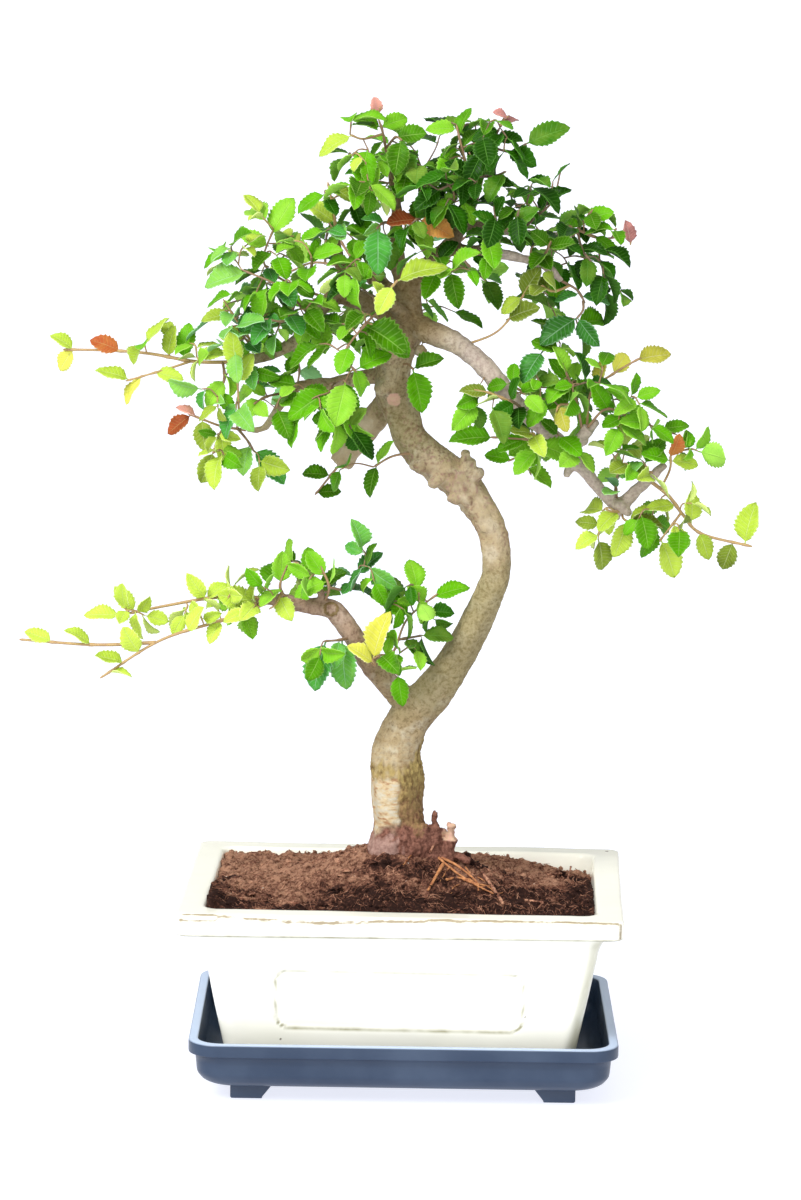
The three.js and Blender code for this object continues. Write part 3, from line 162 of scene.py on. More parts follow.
# Leafy sprays by node. Each shoot has its colour, its route, its number of loose leaves and
# the tips of its set leaves, some of which have a colour of their own
SPRAYS = {
    "crown_tip": [
        ["green", [[-14, 0, 436], [-16, -2, 446], [-18, -3, 452]], 0,
            [[-31, -5, 455], [-42, -8, 447], [-5, 2, 457], [-23, -12, 431]]],
        ["lime", [[-16, -2, 445], [-25, -8, 443], [-31, -10, 445]], 0,
            [[-46, -12, 437], [-42, -15, 432]]],
        ["green", [[-14, -1, 439], [-10, -8, 444], [-7, -14, 443]], 0,
            [[-10, -22, 428], [4, -10, 447], [12, -20, 433]]],
    ],
    "crown_tip_bud": [
        ["pink", [[-18.1, -3.1, 452.4], [-18, -4, 455], [-17, -6, 458]], 0,
            [[-20, -8, 462], [-14, -3, 462]]],
    ],
    "crown_peak": [
        ["green", [[28, -2, 419], [22, -7, 435], [18, -5, 450]], 0,
            [[3, -8, 449], [23, -2, 459], [11, -12, 439], [28, -2, 454]]],
        ["deep", [[22, -7, 434], [24, 16, 430], [29, 34, 426]], 3, []],
    ],
    "crown_peak_right": [
        ["deep", [[29, 0, 435], [35, -4, 443], [38, -6, 449]], 0,
            [[48, -12, 445], [26, -12, 445], [48, 6, 452]]],
        ["deep", [[33, -3, 440], [44, -4, 438], [51, -4, 442]], 1, [[70, -4, 451], [55, -10, 433]]],
    ],
    "crown_peak_bud": [
        ["pink", [[38.2, -6.1, 449.4], [40, -4, 453], [42, -2, 454]], 0,
            [[36, -8, 457], [49, -1, 456], [46, -8, 451]]],
    ],
    "crown_brow": [
        ["deep", [[29, -1, 426], [35, -14, 427], [41, -24, 430]], 0,
            [[32, -30, 417], [40, -34, 415], [53, -30, 418]]],
        ["deep", [[33, -10, 427], [22, -20, 426], [10, -24, 421]], 0,
            [[-1, -30, 413], [6, -26, 429], [22, -32, 415], [15, -22, 435]]],
    ],
    "crown_face": [
        ["deep", [[39, -11, 391], [38, -26, 402], [36, -34, 411]], 0,
            [[34, -44, 398], [26, -38, 414], [38, -42, 420]]],
        ["deep", [[38, -25, 401], [45, -34, 407], [47, -38, 414]], 0,
            [[47, -44, 398], [55, -40, 415]]],
    ],
    "crown_shoulder": [
        ["deep", [[49, 4, 400], [55, -8, 408], [60, -14, 414]], 1,
            [[61, -18, 422], [67, -18, 410]]],
        ["deep", [[53, -4, 406], [63, -2, 415], [67, 0, 430]], 0, []],
    ],
    "crown_shoulder_end": [
        ["green", [[73, 1, 399], [78, -2, 406], [82, -4, 412]], 0,
            [[91, -5, 412], [75, -10, 414], [86, -14, 402]]],
        ["green", [[75, 0, 402], [86, 2, 398], [97, 3, 399]], 1, [[90, 2, 405], [94, -4, 393]]],
        ["deep", [[75, 0, 402], [77, -14, 394], [81, -20, 389]], 1,
            [[80, -26, 379], [91, -24, 383], [89, -20, 393]]],
    ],
    "crown_right_bud": [
        ["pink", [[97.5, 3, 399], [100, 3, 398], [100, 2, 395]], 0, [[98, 1, 407], [102, -1, 391]]],
    ],
    "shelf_face": [
        ["green", [[57, -13, 387], [60, -24, 393], [62, -30, 399]], 0,
            [[53, -36, 389], [72, -34, 400], [66, -38, 390], [54, -36, 403]]],
    ],
    "shelf_tip": [
        ["teal", [[68, -12, 379], [75, -12, 375], [79, -12, 369]], 0,
            [[61, -20, 372], [92, -10, 371]]],
        ["teal", [[78, -12, 370], [78, -14, 366], [75, -16, 362]], 0,
            [[58, -22, 352], [90, -18, 344]]],
        ["lime", [[72, -12, 377], [64, -20, 375], [58, -26, 378]], 2, [[61, -30, 384]]],
    ],
    "crown_inner": [
        ["green", [[10, -3, 388], [11, -16, 384], [17, -26, 384]], 0,
            [[20, -32, 368], [42, -30, 377], [27, -34, 395]]],
    ],
    "crown_gold": [
        ["lime", [[-18, -33, 371], [-12, -38, 376], [-8, -42, 381]], 0,
            [[22, -44, 396], [-17, -46, 366], [-20, -46, 379]]],
    ],
    "crown_bronze": [
        ["bronze", [[-9, 3, 408], [-3, -10, 407], [2, -18, 407]], 0,
            [[-13, -26, 407], [17, -24, 402], [11, -28, 394]]],
    ],
    "crown_teal": [
        ["teal", [[-9, 4, 404], [-15, -16, 405], [-18, -26, 403]], 0,
            [[-17, -36, 385], [-33, -30, 395], [-32, -24, 409]]],
    ],
    "crown_left_fork": [
        ["lime", [[-37, -5, 397], [-38, -8, 409], [-41, -10, 423]], 0,
            [[-49, -12, 413], [-29, -12, 415]]],
    ],
    "crown_left_rise": [
        ["green", [[-39, -2, 368], [-57, -8, 375], [-70, -10, 385], [-66, -10, 401]], 1,
            [[-58, -8, 416], [-81, -10, 399], [-53, -6, 409], [-47, -16, 402]]],
        ["green", [[-52, -7, 373], [-48, -18, 384], [-48, -24, 390]], 0,
            [[-51, -32, 381], [-35, -30, 395], [-45, -26, 401]]],
    ],
    "crown_left_edge": [
        ["teal", [[-47, -4, 359], [-62, -22, 375], [-80, -22, 383]], 2,
            [[-98, -18, 376], [-56, -36, 370]]],
        ["teal", [[-55, -14, 368], [-59, -24, 360], [-69, -30, 361]], 2,
            [[-52, -34, 356], [-75, -34, 351]]],
    ],
    "left_lime": [
        ["lime", [[-71, -3, 341], [-82, -6, 357], [-89, -8, 368]], 0,
            [[-99, -10, 359], [-89, -12, 352]]],
        ["teal", [[-74, -4, 346], [-77, -14, 349], [-81, -20, 354]], 3, []],
    ],
    "far_left": [
        ["lime",
            [[-85, -3, 338], [-102, -2, 338], [-123, 1, 341], [-141, 3, 342], [-164, 5, 342]], 1,
            [
                [-169, 5, 350], [-171, 5, 333, "gold"], [-151, 3, 348, "bronze"], [-113, -4, 354],
                [-106, 4, 356, "green"],
            ]],
        ["lime", [[-104, -2, 338], [-117, -6, 334], [-134, -8, 329]], 0,
            [[-147, -10, 336], [-137, -10, 318, "gold"], [-107, -8, 331]]],
        ["green", [[-89, -3, 338], [-88, -8, 331], [-90, -10, 324]], 2,
            [[-96, -14, 319], [-82, -16, 323]]],
    ],
    "left_low_tip": [
        ["bronze", [[-78, -1, 306], [-89, -4, 308], [-97, -6, 311], [-105, -6, 314]], 0,
            [
                [-115, -6, 305], [-126, -4, 298, "gold"], [-97, -12, 298, "lime"],
                [-111, -8, 319, "pink"],
            ]],
        ["lime", [[-88, -4, 308], [-91, -8, 302], [-93, -10, 296]], 0,
            [[-98, -12, 282], [-87, -14, 292]]],
        ["lime", [[-82, -2, 307], [-81, -12, 316], [-82, -18, 339]], 1,
            [[-85, -20, 354], [-75, -20, 344]]],
        ["teal", [[-82, -2, 307], [-77, -8, 302], [-74, -8, 297]], 0,
            [[-80, -14, 287], [-58, -8, 283]]],
    ],
    "left_low_face": [
        ["green", [[-58, 1, 324], [-68, -10, 323], [-74, -16, 320]], 2,
            [[-80, -20, 313], [-69, -24, 313]]],
    ],
    "front_low": [
        ["green", [[-39, 9, 327], [-37, -14, 330], [-39, -26, 327]], 0,
            [[-58, -30, 317], [-39, -34, 313], [-53, -22, 309]]],
        ["green", [[-37, -10, 329], [-33, -26, 333], [-31, -34, 333]], 0,
            [[-35, -42, 314], [-22, -34, 313]]],
    ],
    "front_bright": [
        ["green", [[-13, -23, 368], [-23, -32, 359], [-32, -37, 346], [-26, -40, 338]], 0,
            [[-1, -44, 349], [-34, -46, 339], [-50, -42, 355], [-19, -48, 367], [-22, -36, 324]]],
    ],
    "bend_leaf": [
        ["green", [[-6, 2, 337], [-3, -8, 339], [0, -14, 337]], 0, [[5, -18, 318], [13, -16, 344]]],
    ],
    "right_straight": [
        ["lime", [[22, -13, 348], [40, -17, 357], [53, -20, 378]], 0,
            [[56, -24, 369], [31, -20, 363], [57, -22, 386]]],
    ],
    "right_under": [
        ["deep", [[54, -15, 316], [48, -27, 323], [44, -33, 326]], 0,
            [[48, -38, 315], [36, -36, 318], [47, -38, 337]]],
        ["lime", [[48, -27, 323], [36, -29, 328], [28, -31, 330]], 0,
            [[22, -34, 331], [27, -34, 323]]],
    ],
    "right_rise": [
        ["green", [[79, -13, 309], [75, -17, 326], [69, -20, 341]], 0,
            [[66, -22, 350], [55, -28, 345], [62, -30, 327], [82, -16, 346]]],
        ["gold", [[76, -16, 322], [68, -26, 323], [66, -30, 320]], 0,
            [[70, -38, 313], [57, -38, 327]]],
    ],
    "right_gold": [
        ["gold", [[81, -10, 311], [83, -6, 327], [94, -4, 336], [106, -2, 343]], 0,
            [[120, 0, 346], [87, -2, 343], [100, 4, 345]]],
    ],
    "right_reach": [
        ["green", [[81, -14, 311], [90, -14, 320], [103, -12, 315], [123, -10, 308]], 0,
            [[83, -20, 332], [100, -18, 323], [88, -24, 314], [111, -8, 314], [129, -8, 313]]],
    ],
    "right_slender": [
        ["green", [[67, -10, 304], [53, -12, 305], [36, -14, 306]], 0,
            [[17, -16, 306], [39, -14, 301], [46, -10, 312]]],
        ["lime", [[58, -11, 305], [56, -24, 309], [54, -30, 310]], 0,
            [[46, -36, 313], [60, -36, 301]]],
    ],
    "right_pale": [
        ["green", [[75, -8, 295], [58, 4, 298], [45, 8, 292]], 0,
            [[34, 8, 295], [45, 4, 284], [55, 10, 302]]],
        ["green", [[49, 7, 294], [54, 6, 290], [56, 4, 286]], 0, [[66, 4, 281], [62, 10, 291]]],
    ],
    "right_knot_top": [
        ["teal", [[96, -5, 276], [95, -12, 286], [97, -15, 292]], 0,
            [[106, -20, 296], [88, -18, 295], [90, -20, 283]]],
        ["green", [[95, -11, 286], [99, 8, 288], [102, 20, 288]], 3, []],
    ],
    "right_knot_under": [
        ["lime", [[98, -5, 273], [99, -8, 268], [101, -9, 267]], 0,
            [[96, -12, 250], [118, -10, 266]]],
        ["lime", [[99, -6, 271], [93, -14, 272], [90, -17, 274]], 0, [[87, -20, 266]]],
    ],
    "right_tip": [
        ["lime",
            [[111, -8, 286], [120, -9, 279], [127, -8, 270], [136, -6, 261], [160, -4, 255]], 0,
            [[130, -8, 284], [110, -16, 275], [159, -6, 276], [140, -8, 249], [146, -2, 243]]],
        ["lime", [[126, -8, 271], [122, -11, 266], [116, -12, 258]], 0,
            [[127, -16, 253], [125, -12, 241], [114, -12, 240]]],
        ["bronze", [[116, -9, 282], [120, -13, 292], [120, -15, 299]], 0,
            [[107, -19, 301, "green"], [134, -10, 295, "lime"], [123, -17, 309]]],
    ],
    "low_shoot_top": [
        ["lime", [[-69, -2, 227], [-91, 3, 226], [-116, 6, 221], [-141, 8, 215]], 0,
            [[-139, 6, 230], [-105, 0, 237], [-154, 8, 217], [-88, 6, 235]]],
    ],
    "low_shoot": [
        ["lime", [[-66, -2, 225], [-87, -6, 217], [-117, -9, 207], [-145, -11, 189]], 0,
            [
                [-134, -16, 213], [-147, -12, 201], [-129, -14, 194], [-98, -14, 224],
                [-94, -14, 208],
            ]],
        ["lime", [[-119, -9, 206], [-148, -6, 204], [-184, 0, 205]], 0,
            [[-160, -10, 213], [-181, -2, 210], [-143, -4, 212]]],
    ],
    "low_knob": [
        ["green", [[-56, -4, 225], [-61, -8, 233], [-58, -8, 243]], 0,
            [[-60, -8, 250], [-48, -12, 246], [-76, -6, 244], [-72, -20, 223]]],
        ["lime", [[-60, -7, 231], [-63, -16, 226], [-66, -18, 224]], 0,
            [[-56, -20, 220], [-73, -20, 230]]],
    ],
    "low_twig": [
        ["green", [[-41, -7, 224], [-38, -13, 234], [-42, -12, 244]], 0,
            [[-54, -18, 232], [-49, -10, 251], [-35, -14, 251]]],
        ["teal", [[-38, -13, 234], [-28, -6, 232], [-25, -2, 240]], 0,
            [[-14, -4, 250], [-16, 2, 231], [-28, -14, 225]]],
        ["green", [[-38, -12, 232], [-43, 8, 228], [-45, 22, 227]], 3, []],
    ],
    "low_hang": [
        ["teal", [[-26, -9, 210], [-33, -18, 210], [-40, -22, 210]], 0,
            [[-46, -24, 187], [-49, -26, 207], [-35, -26, 198], [-30, -18, 186]]],
    ],
    "low_gold": [
        ["gold", [[-19, -8, 199], [-16, -17, 198], [-17, -23, 202]], 0,
            [[-12, -26, 225], [-3, -30, 212], [-28, -24, 209]]],
    ],
    "low_right": [
        ["green", [[-14, -5, 192], [-7, -8, 204], [-1, -8, 219], [13, -7, 231]], 1,
            [[27, -6, 236], [-17, -10, 233], [-1, -14, 234], [27, -4, 229]]],
        ["deep", [[-5, -8, 209], [2, -12, 211], [6, -13, 212]], 0,
            [[5, -18, 203], [21, -10, 212], [13, -16, 195]]],
        ["green", [[-10, -6, 198], [-6, -14, 194], [-5, -18, 194]], 0,
            [[-3, -22, 180], [3, -24, 200]]],
    ],
    "rear_twig": [
        ["green", [[-34, 30, 287], [-40, 33, 279], [-46, 36, 271]], 0,
            [[-52, 32, 282], [-34, 34, 274]]],
    ],
    "bend_twig": [
        ["green", [[6, 2, 296], [-8, -8, 296], [-18, -12, 291]], 0,
            [[-21, -16, 278], [-33, -14, 280], [-11, -12, 304]]],
    ],
    "rear_right_twig": [
        ["green", [[10, 42, 382], [22, 56, 392], [35, 62, 399]], 3, []],
        ["deep", [[16, 49, 387], [14, 50, 401], [15, 48, 413]], 3, []],
    ],
    "rear_end": [
        ["green", [[18, 58, 389], [27, 74, 377], [35, 82, 370]], 3, []],
        ["teal", [[22, 66, 383], [18, 76, 392], [12, 84, 398]], 3, []],
    ],
    "rear_left_twig": [
        ["green", [[-26, 42, 377], [-35, 52, 390], [-43, 54, 402]], 3, []],
        ["lime", [[-30, 47, 383], [-34, 62, 369], [-39, 72, 361]], 3, []],
    ],
    "rear_left_end": [
        ["green", [[-37, 56, 379], [-49, 68, 379], [-60, 74, 374]], 3, []],
        ["deep", [[-43, 62, 379], [-43, 74, 389], [-41, 82, 397]], 3, []],
    ],
    "rear_top": [
        ["deep", [[-11, 1, 424], [-6, 22, 424], [-3, 38, 426]], 3, []],
        ["green", [[-8, 15, 424], [-13, 28, 418], [-18, 40, 411]], 2, []],
    ],
    "rear_shoulder": [
        ["green", [[54, 4, 399], [59, 26, 395], [65, 42, 389]], 3, []],
        ["deep", [[56, 15, 397], [66, 26, 401], [74, 32, 403]], 2, []],
    ],
    "rear_right": [
        ["green", [[42, -19, 329], [48, 12, 328], [56, 34, 329]], 3, []],
        ["lime", [[45, -2, 329], [60, 12, 321], [69, 18, 318]], 2, []],
    ],
    "rear_left": [
        ["green", [[-53, -4, 350], [-60, 20, 344], [-68, 36, 339]], 3, []],
        ["teal", [[-57, 10, 346], [-54, 24, 333], [-55, 30, 323]], 2, []],
    ],
}

# Leafy clumps: colours, middle, half sizes and how many leaves fill each
CLUMPS = [
    ("green green green lime deep", -23, -8, 441, 20, 18, 12, 14),
    ("green deep green lime", 5, -6, 438, 20, 20, 14, 18),
    ("deep green deep", 37, -6, 443, 16, 20, 12, 16),
    ("green deep green lime", -11, -14, 421, 22, 18, 12, 14),
    ("deep deep green", 19, -20, 420, 21, 16, 13, 18),
    ("deep deep green", 52, -10, 421, 20, 18, 12, 16), ("deep green", 80, -4, 408, 16, 18, 9, 12),
    ("deep green deep", 88, -14, 385, 14, 18, 14, 12),
    ("deep deep green", 46, -22, 396, 27, 14, 11, 20), ("green deep", 22, -26, 384, 17, 12, 7, 6),
    ("green teal green deep", -29, -18, 407, 19, 16, 15, 14),
    ("green green lime", -57, -12, 402, 18, 18, 15, 16),
    ("green teal lime", -78, -14, 383, 17, 18, 15, 14),
    ("green teal green deep", -50, -20, 376, 23, 16, 14, 18),
    ("teal green teal", -82, -14, 358, 15, 16, 16, 16),
    ("green teal green", -56, -18, 351, 21, 16, 14, 16), ("green", -29, -30, 350, 16, 12, 14, 10),
    ("teal green lime", -84, -14, 325, 16, 16, 18, 16),
    ("green deep green", -56, -16, 323, 19, 16, 13, 12), ("green", -34, -28, 318, 13, 12, 14, 8),
    ("lime green lime", -81, -12, 300, 23, 12, 9, 9), ("green", -28, -10, 293, 10, 10, 7, 2),
    ("green teal green", 62, -16, 353, 21, 14, 12, 10),
    ("green deep green", 47, -24, 326, 21, 14, 13, 14),
    ("green deep green", 73, -20, 332, 20, 14, 13, 14), ("green", 63, -10, 305, 21, 14, 10, 8),
    ("green green lime", 100, -14, 315, 21, 14, 11, 12),
    ("green lime", 106, -12, 297, 18, 14, 9, 12), ("lime", 92, -10, 267, 13, 12, 11, 5),
    ("green lime lime", 120, -10, 273, 19, 12, 15, 11), ("green", 129, -12, 300, 7, 8, 7, 3),
    ("green green lime", -58, -8, 239, 21, 14, 9, 13), ("green teal", -27, -10, 241, 17, 12, 9, 9),
    ("green deep", -4, -10, 227, 16, 12, 12, 11), ("green", -3, -18, 209, 13, 12, 11, 7),
    ("green teal", -36, -18, 207, 11, 12, 12, 3), ("lime green", -76, -8, 225, 21, 12, 10, 13),
    ("lime", -112, -6, 222, 24, 10, 12, 11), ("green lime lime", -118, -2, 341, 23, 10, 9, 10),
    ("deep green", -2, -14, 399, 13, 14, 12, 12), ("green deep teal", -23, -24, 387, 13, 12, 10, 9),
    ("deep deep green", 14, -16, 413, 14, 14, 11, 10), ("deep green", -31, -26, 312, 11, 10, 10, 7),
    ("green lime", -19, -28, 356, 11, 10, 10, 6), ("deep green", 11, 24, 427, 33, 22, 21, 26),
    ("green deep teal", -54, 28, 369, 33, 26, 28, 26), ("deep green", 54, 32, 380, 33, 26, 23, 26),
    ("deep green", -7, 50, 363, 33, 30, 28, 26), ("green deep", 83, 16, 320, 28, 20, 19, 14),
]

# How a leaf is shaped and kept clear of its neighbours, the same as in the solids
LEAF = {
    "half_width": 0.3, "droop": 0.16, "fold": 0.22, "clear": 1.12, "reach": 0.62,
    "tries": 28, "longest": 24, "usual": 15, "shrink": 0.985,
}
# Shares of a twig's length at which a set leaf may start
LEAF_PLACES = [step * 0.094 for step in range(3, 11)]
LOOSE = {
    "first": 0.94, "spread": 0.58, "up": 0.85, "outward": 0.5, "forward": 0.45, "sag": 0.15,
    "tip_angle": 0.3, "side_angle": 0.75, "least": 12, "more": 6, "shrink": 0.97,
}
TWIG_RADIUS = {"base": 1.0, "tip": 0.62}
# Above this height every branch bears leaves, and lower down those thinner than this radius
BEARING = {"height": 352, "radius": 5}
SOIL = {"level": 88.6, "mound": 21, "spread_x": 44, "spread_y": 40, "dip": 6, "crumb": 1}
TRUNK_FOOT_X = -4
TRUNK_RINGS = 30
# Seeds of the repeatable draws; each twig and each clump adds a step to its first seed
SEEDS = {
    "twig": 41, "twig_step": 97, "clump": 900, "clump_step": 31, "crumbs": 5, "fibres": 11,
    "rootlets": 23, "leaves": 300,
}


def unit(vector):
    """The vector at length one"""
    return vector / math.sqrt(float(vector @ vector))


def random_draws(seed):
    """A small repeatable random number generator with 32-bit state"""
    state = seed & 0xFFFFFFFF

    def draw():
        nonlocal state
        state = (state + 0x6D2B79F5) & 0xFFFFFFFF
        mixed = ((state ^ (state >> 15)) * (state | 1)) & 0xFFFFFFFF
        mixed ^= (mixed + (mixed ^ (mixed >> 7)) * (mixed | 61)) & 0xFFFFFFFF
        return (mixed ^ (mixed >> 14)) / 4294967296

    return draw


def soil_height(x, y):
    """Height of the solid soil, which is mounded up to the trunk"""
    mound = SOIL["mound"] * math.exp(
        -(((x - TRUNK_FOOT_X) / SOIL["spread_x"]) ** 2) - (y / SOIL["spread_y"]) ** 2
    )
    dip = SOIL["dip"] * max(0, x / 85) * max(0, y / 60)
    crumbs = math.sin(x * 0.61 + 1.3 * math.sin(y * 0.35)) * math.sin(y * 0.57 + x * 0.21)
    return SOIL["level"] + mound - dip + SOIL["crumb"] * crumbs


def leaf_half_width(share, width):
    """Half width of a leaf at a share of its length"""
    inside = np.clip(share, 1e-9, 1 - 1e-9)
    half = width * np.sin(math.pi * inside**0.82) ** 0.75
    return np.where((share <= 0) | (share >= 1), 0.0, half)


def leaf_rise(share, across, length):
    """How far a place of a leaf lies above its base, by its fold and its droop"""
    return LEAF["fold"] * np.abs(across) - LEAF["droop"] * length * share * share


class Blade:
    """A leaf's place: its base, its three directions, its length and its half width"""

    def __init__(self, base, along, wanted, length, width):
        self.base, self.along, self.length = base, along, length
        self.up = unit(wanted - along * (wanted @ along))
        self.side = np.cross(self.up, along)
        self.width = width * length
        self.middle = self.point(np.array([0.5]), np.array([0.0]))[0]
        shares = np.repeat(np.arange(1, 11) / 10.2, 5)
        steps = np.tile([-1, -0.5, 0, 0.5, 1], 10)
        self.samples = self.point(shares, steps * leaf_half_width(shares, self.width))

    def point(self, share, across, lift=0.0):
        rise = leaf_rise(share, across, self.length) + lift
        return (
            self.base
            + np.outer(share * self.length, self.along)
            + np.outer(across, self.side)
            + np.outer(rise, self.up)
        )


def stem_distances(points, starts, ends):
    """Distances from each point to each straight piece of stem"""
    along = ends - starts
    offset = points[:, None, :] - starts[None]
    share = np.clip((offset * along).sum(2) / (along * along).sum(1), 0, 1)
    return np.linalg.norm(offset - share[:, :, None] * along, axis=2)


def points_cross(samples, other, clear):
    """Whether any sample of one leaf comes too near another leaf"""
    offset = samples - other.base
    share = offset @ other.along / other.length
    across = offset @ other.side
    reach = leaf_half_width(share, other.width) + clear * 0.7
    rise = np.abs(offset @ other.up - leaf_rise(share, across, other.length))
    return bool(
        ((share >= -0.06) & (share <= 1.06) & (np.abs(across) <= reach) & (rise < clear)).any()
    )


class Crowd:
    """All stems and leaves so far, against which a new leaf is tested"""

    def __init__(self):
        self.starts, self.ends, self.radii, self.owners = [], [], [], []
        self.blades = []
        self.middles = np.zeros((0, 3))
        self.reaches = np.zeros(0)

    def add_stem(self, route, radii, owner):
        for index in range(1, len(route)):
            self.starts.append(route[index - 1])
            self.ends.append(route[index])
            self.radii.append(max(radii[index - 1], radii[index]))
            self.owners.append(owner)

    def settle(self):
        self.starts, self.ends = np.array(self.starts), np.array(self.ends)
        self.radii, self.owners = np.array(self.radii), np.array(self.owners)

    def add_spur(self, route, radii, owner):
        self.starts = np.vstack([self.starts, route[:-1]])
        self.ends = np.vstack([self.ends, route[1:]])
        self.radii = np.append(self.radii, radii[:-1])
        self.owners = np.append(self.owners, [owner] * (len(route) - 1))

    def nearest(self, spot):
        """The nearest place of a stem that bears leaves"""
        tops = np.maximum(self.starts[:, 2], self.ends[:, 2])
        bearing = (self.owners >= 0) | (tops > BEARING["height"])
        bearing |= (self.radii < BEARING["radius"]) & (self.owners < 0)
        starts, along = self.starts[bearing], (self.ends - self.starts)[bearing]
        offset = spot - starts
        share = np.clip((offset * along).sum(1) / (along * along).sum(1), 0, 1)
        places = starts + along * share[:, None]
        return places[np.linalg.norm(places - spot, axis=1).argmin()]

    def add_leaf(self, blade):
        self.blades.append(blade)
        self.middles = np.vstack([self.middles, blade.middle])
        self.reaches = np.append(self.reaches, blade.length * LEAF["reach"])

    def is_clear(self, blade, owner, clear):
        reach = blade.length * LEAF["reach"]
        near = stem_distances(blade.middle[None], self.starts, self.ends)[0] < reach + self.radii
        near &= self.owners != owner
        if near.any():
            apart = stem_distances(blade.samples, self.starts[near], self.ends[near])
            if (apart < self.radii[near] + clear * 0.8).any():
                return False
        close = np.linalg.norm(self.middles - blade.middle, axis=1) < reach + self.reaches
        for index in np.nonzero(close)[0]:
            other = self.blades[index]
            if points_cross(blade.samples, other, clear):
                return False
            if points_cross(other.samples, blade, clear):
                return False
        return True


def along_route(route, share):
    """The place on a twig at a share of its length, with the direction there"""
    lengths = [math.dist(route[index], route[index + 1]) for index in range(len(route) - 1)]
    left = share * sum(lengths)
    index = 0
    while index < len(lengths) - 1 and left > lengths[index]:
        left -= lengths[index]
        index += 1
    tangent = unit(route[index + 1] - route[index])
    return route[index] + tangent * left, tangent


def aimed_leaf(twig, tip, attempt):
    """A leaf whose tip has a set place"""
    draw = twig["draw"]
    target = np.array(tip[:3], float)
    for axis in range(3):
        target[axis] += (draw() - 0.5) * 0.6 * attempt
    spots = [along_route(twig["route"], share)[0] for share in LEAF_PLACES]
    spot = min(spots, key=lambda near: abs(math.dist(near, target) - LEAF["usual"]))
    distance = math.dist(spot, target)
    along = unit(target - spot)
    turn = 0.5 + 0.08 * attempt
    wanted = np.array([0.0, -0.7, 0.7])
    wanted[0] += (draw() - 0.5) * turn * 2
    wanted[1] += (draw() - 0.5) * turn
    wanted[2] += (draw() - 0.5) * turn
    length = min(LEAF["longest"], distance) * LEAF["shrink"] ** attempt
    return Blade(spot, along, wanted, length, LEAF["half_width"] * (0.9 + 0.2 * draw()))


def loose_leaf(twig, index, attempt):
    """A leaf of the tip, or one that alternates back along the twig"""
    draw = twig["draw"]
    route = twig["route"]
    share = LOOSE["first"] - LOOSE["spread"] * index / max(twig["loose"], 2)
    spot, tangent = along_route(route, share)
    away = unit(route[-1] - route[0])
    outward = LOOSE["outward"] * min(1, max(-1, spot[1] / 30))
    wanted = np.array([draw() - 0.5, draw() - 0.5 + outward, draw() - 0.5 + LOOSE["up"]])
    wanted += away * LOOSE["forward"]
    side = unit(np.cross(tangent, wanted)) * (1 if index % 2 else -1)
    angle = LOOSE["side_angle"] if index else LOOSE["tip_angle"]
    angle = angle + 0.5 * draw() + 0.04 * attempt
    along = tangent * math.cos(angle) + side * math.sin(angle)
    along[2] -= LOOSE["sag"] * draw()
    length = (LOOSE["least"] + LOOSE["more"] * draw()) * LOOSE["shrink"] ** attempt
    return Blade(spot, unit(along), wanted, length, LEAF["half_width"] * (0.9 + 0.2 * draw()))


def grow_twigs():
    """All twigs of the solids with their leaves, set leaves first"""
    crowd = Crowd()
    for points in WOOD.values():
        route = [np.array(point[:3], float) for point in points]
        crowd.add_stem(route, [point[3] for point in points], -1)
    twigs = []
    for node, shoots in SPRAYS.items():
        for tint, points, loose, tips in shoots:
            route = [np.array(point, float) for point in points]
            taper = (TWIG_RADIUS["base"] - TWIG_RADIUS["tip"]) / (len(route) - 1)
            radii = [TWIG_RADIUS["base"] - taper * index for index in range(len(route))]
            twigs.append({
                "node": node, "tint": tint, "route": route, "radii": radii, "loose": loose,
                "tips": tips, "leaves": [], "tints": [],
                "draw": random_draws(SEEDS["twig"] + SEEDS["twig_step"] * len(twigs)),
            })
            crowd.add_stem(route, radii, len(twigs) - 1)
    crowd.settle()

    def settle(index, propose, tint):
        for attempt in range(LEAF["tries"]):
            blade = propose(attempt)
            if crowd.is_clear(blade, index, LEAF["clear"]):
                twigs[index]["leaves"].append(blade)
                twigs[index]["tints"].append(tint)
                crowd.add_leaf(blade)
                return

    for index, twig in enumerate(twigs):
        for tip in twig["tips"]:
            tint = tip[3] if len(tip) > 3 else twig["tint"]
            settle(index, lambda attempt: aimed_leaf(twig, tip, attempt), tint)
    for index, twig in enumerate(twigs):
        for number in range(twig["loose"]):
            settle(index, lambda attempt: loose_leaf(twig, number, attempt), twig["tint"])
    return twigs, crowd


# The spurs that fill the clumps: their leaves' room, tries, angles and sizes, and their own sizes
FILL = {
    "clear": 0.55, "tries": 9, "tip_angle": 0.25, "side_angle": 0.8, "sag": 0.35, "least": 10,
    "more": 8.5, "shrink": 0.965, "spread": 0.72, "same_tint": 0.7,
    "radii": [0.62, 0.52, 0.4], "nearest": 3, "shortest": 8, "longest": 27, "margin": 1.2,
}
CROWN_MIDDLE = np.array([0, 18, 330.0])


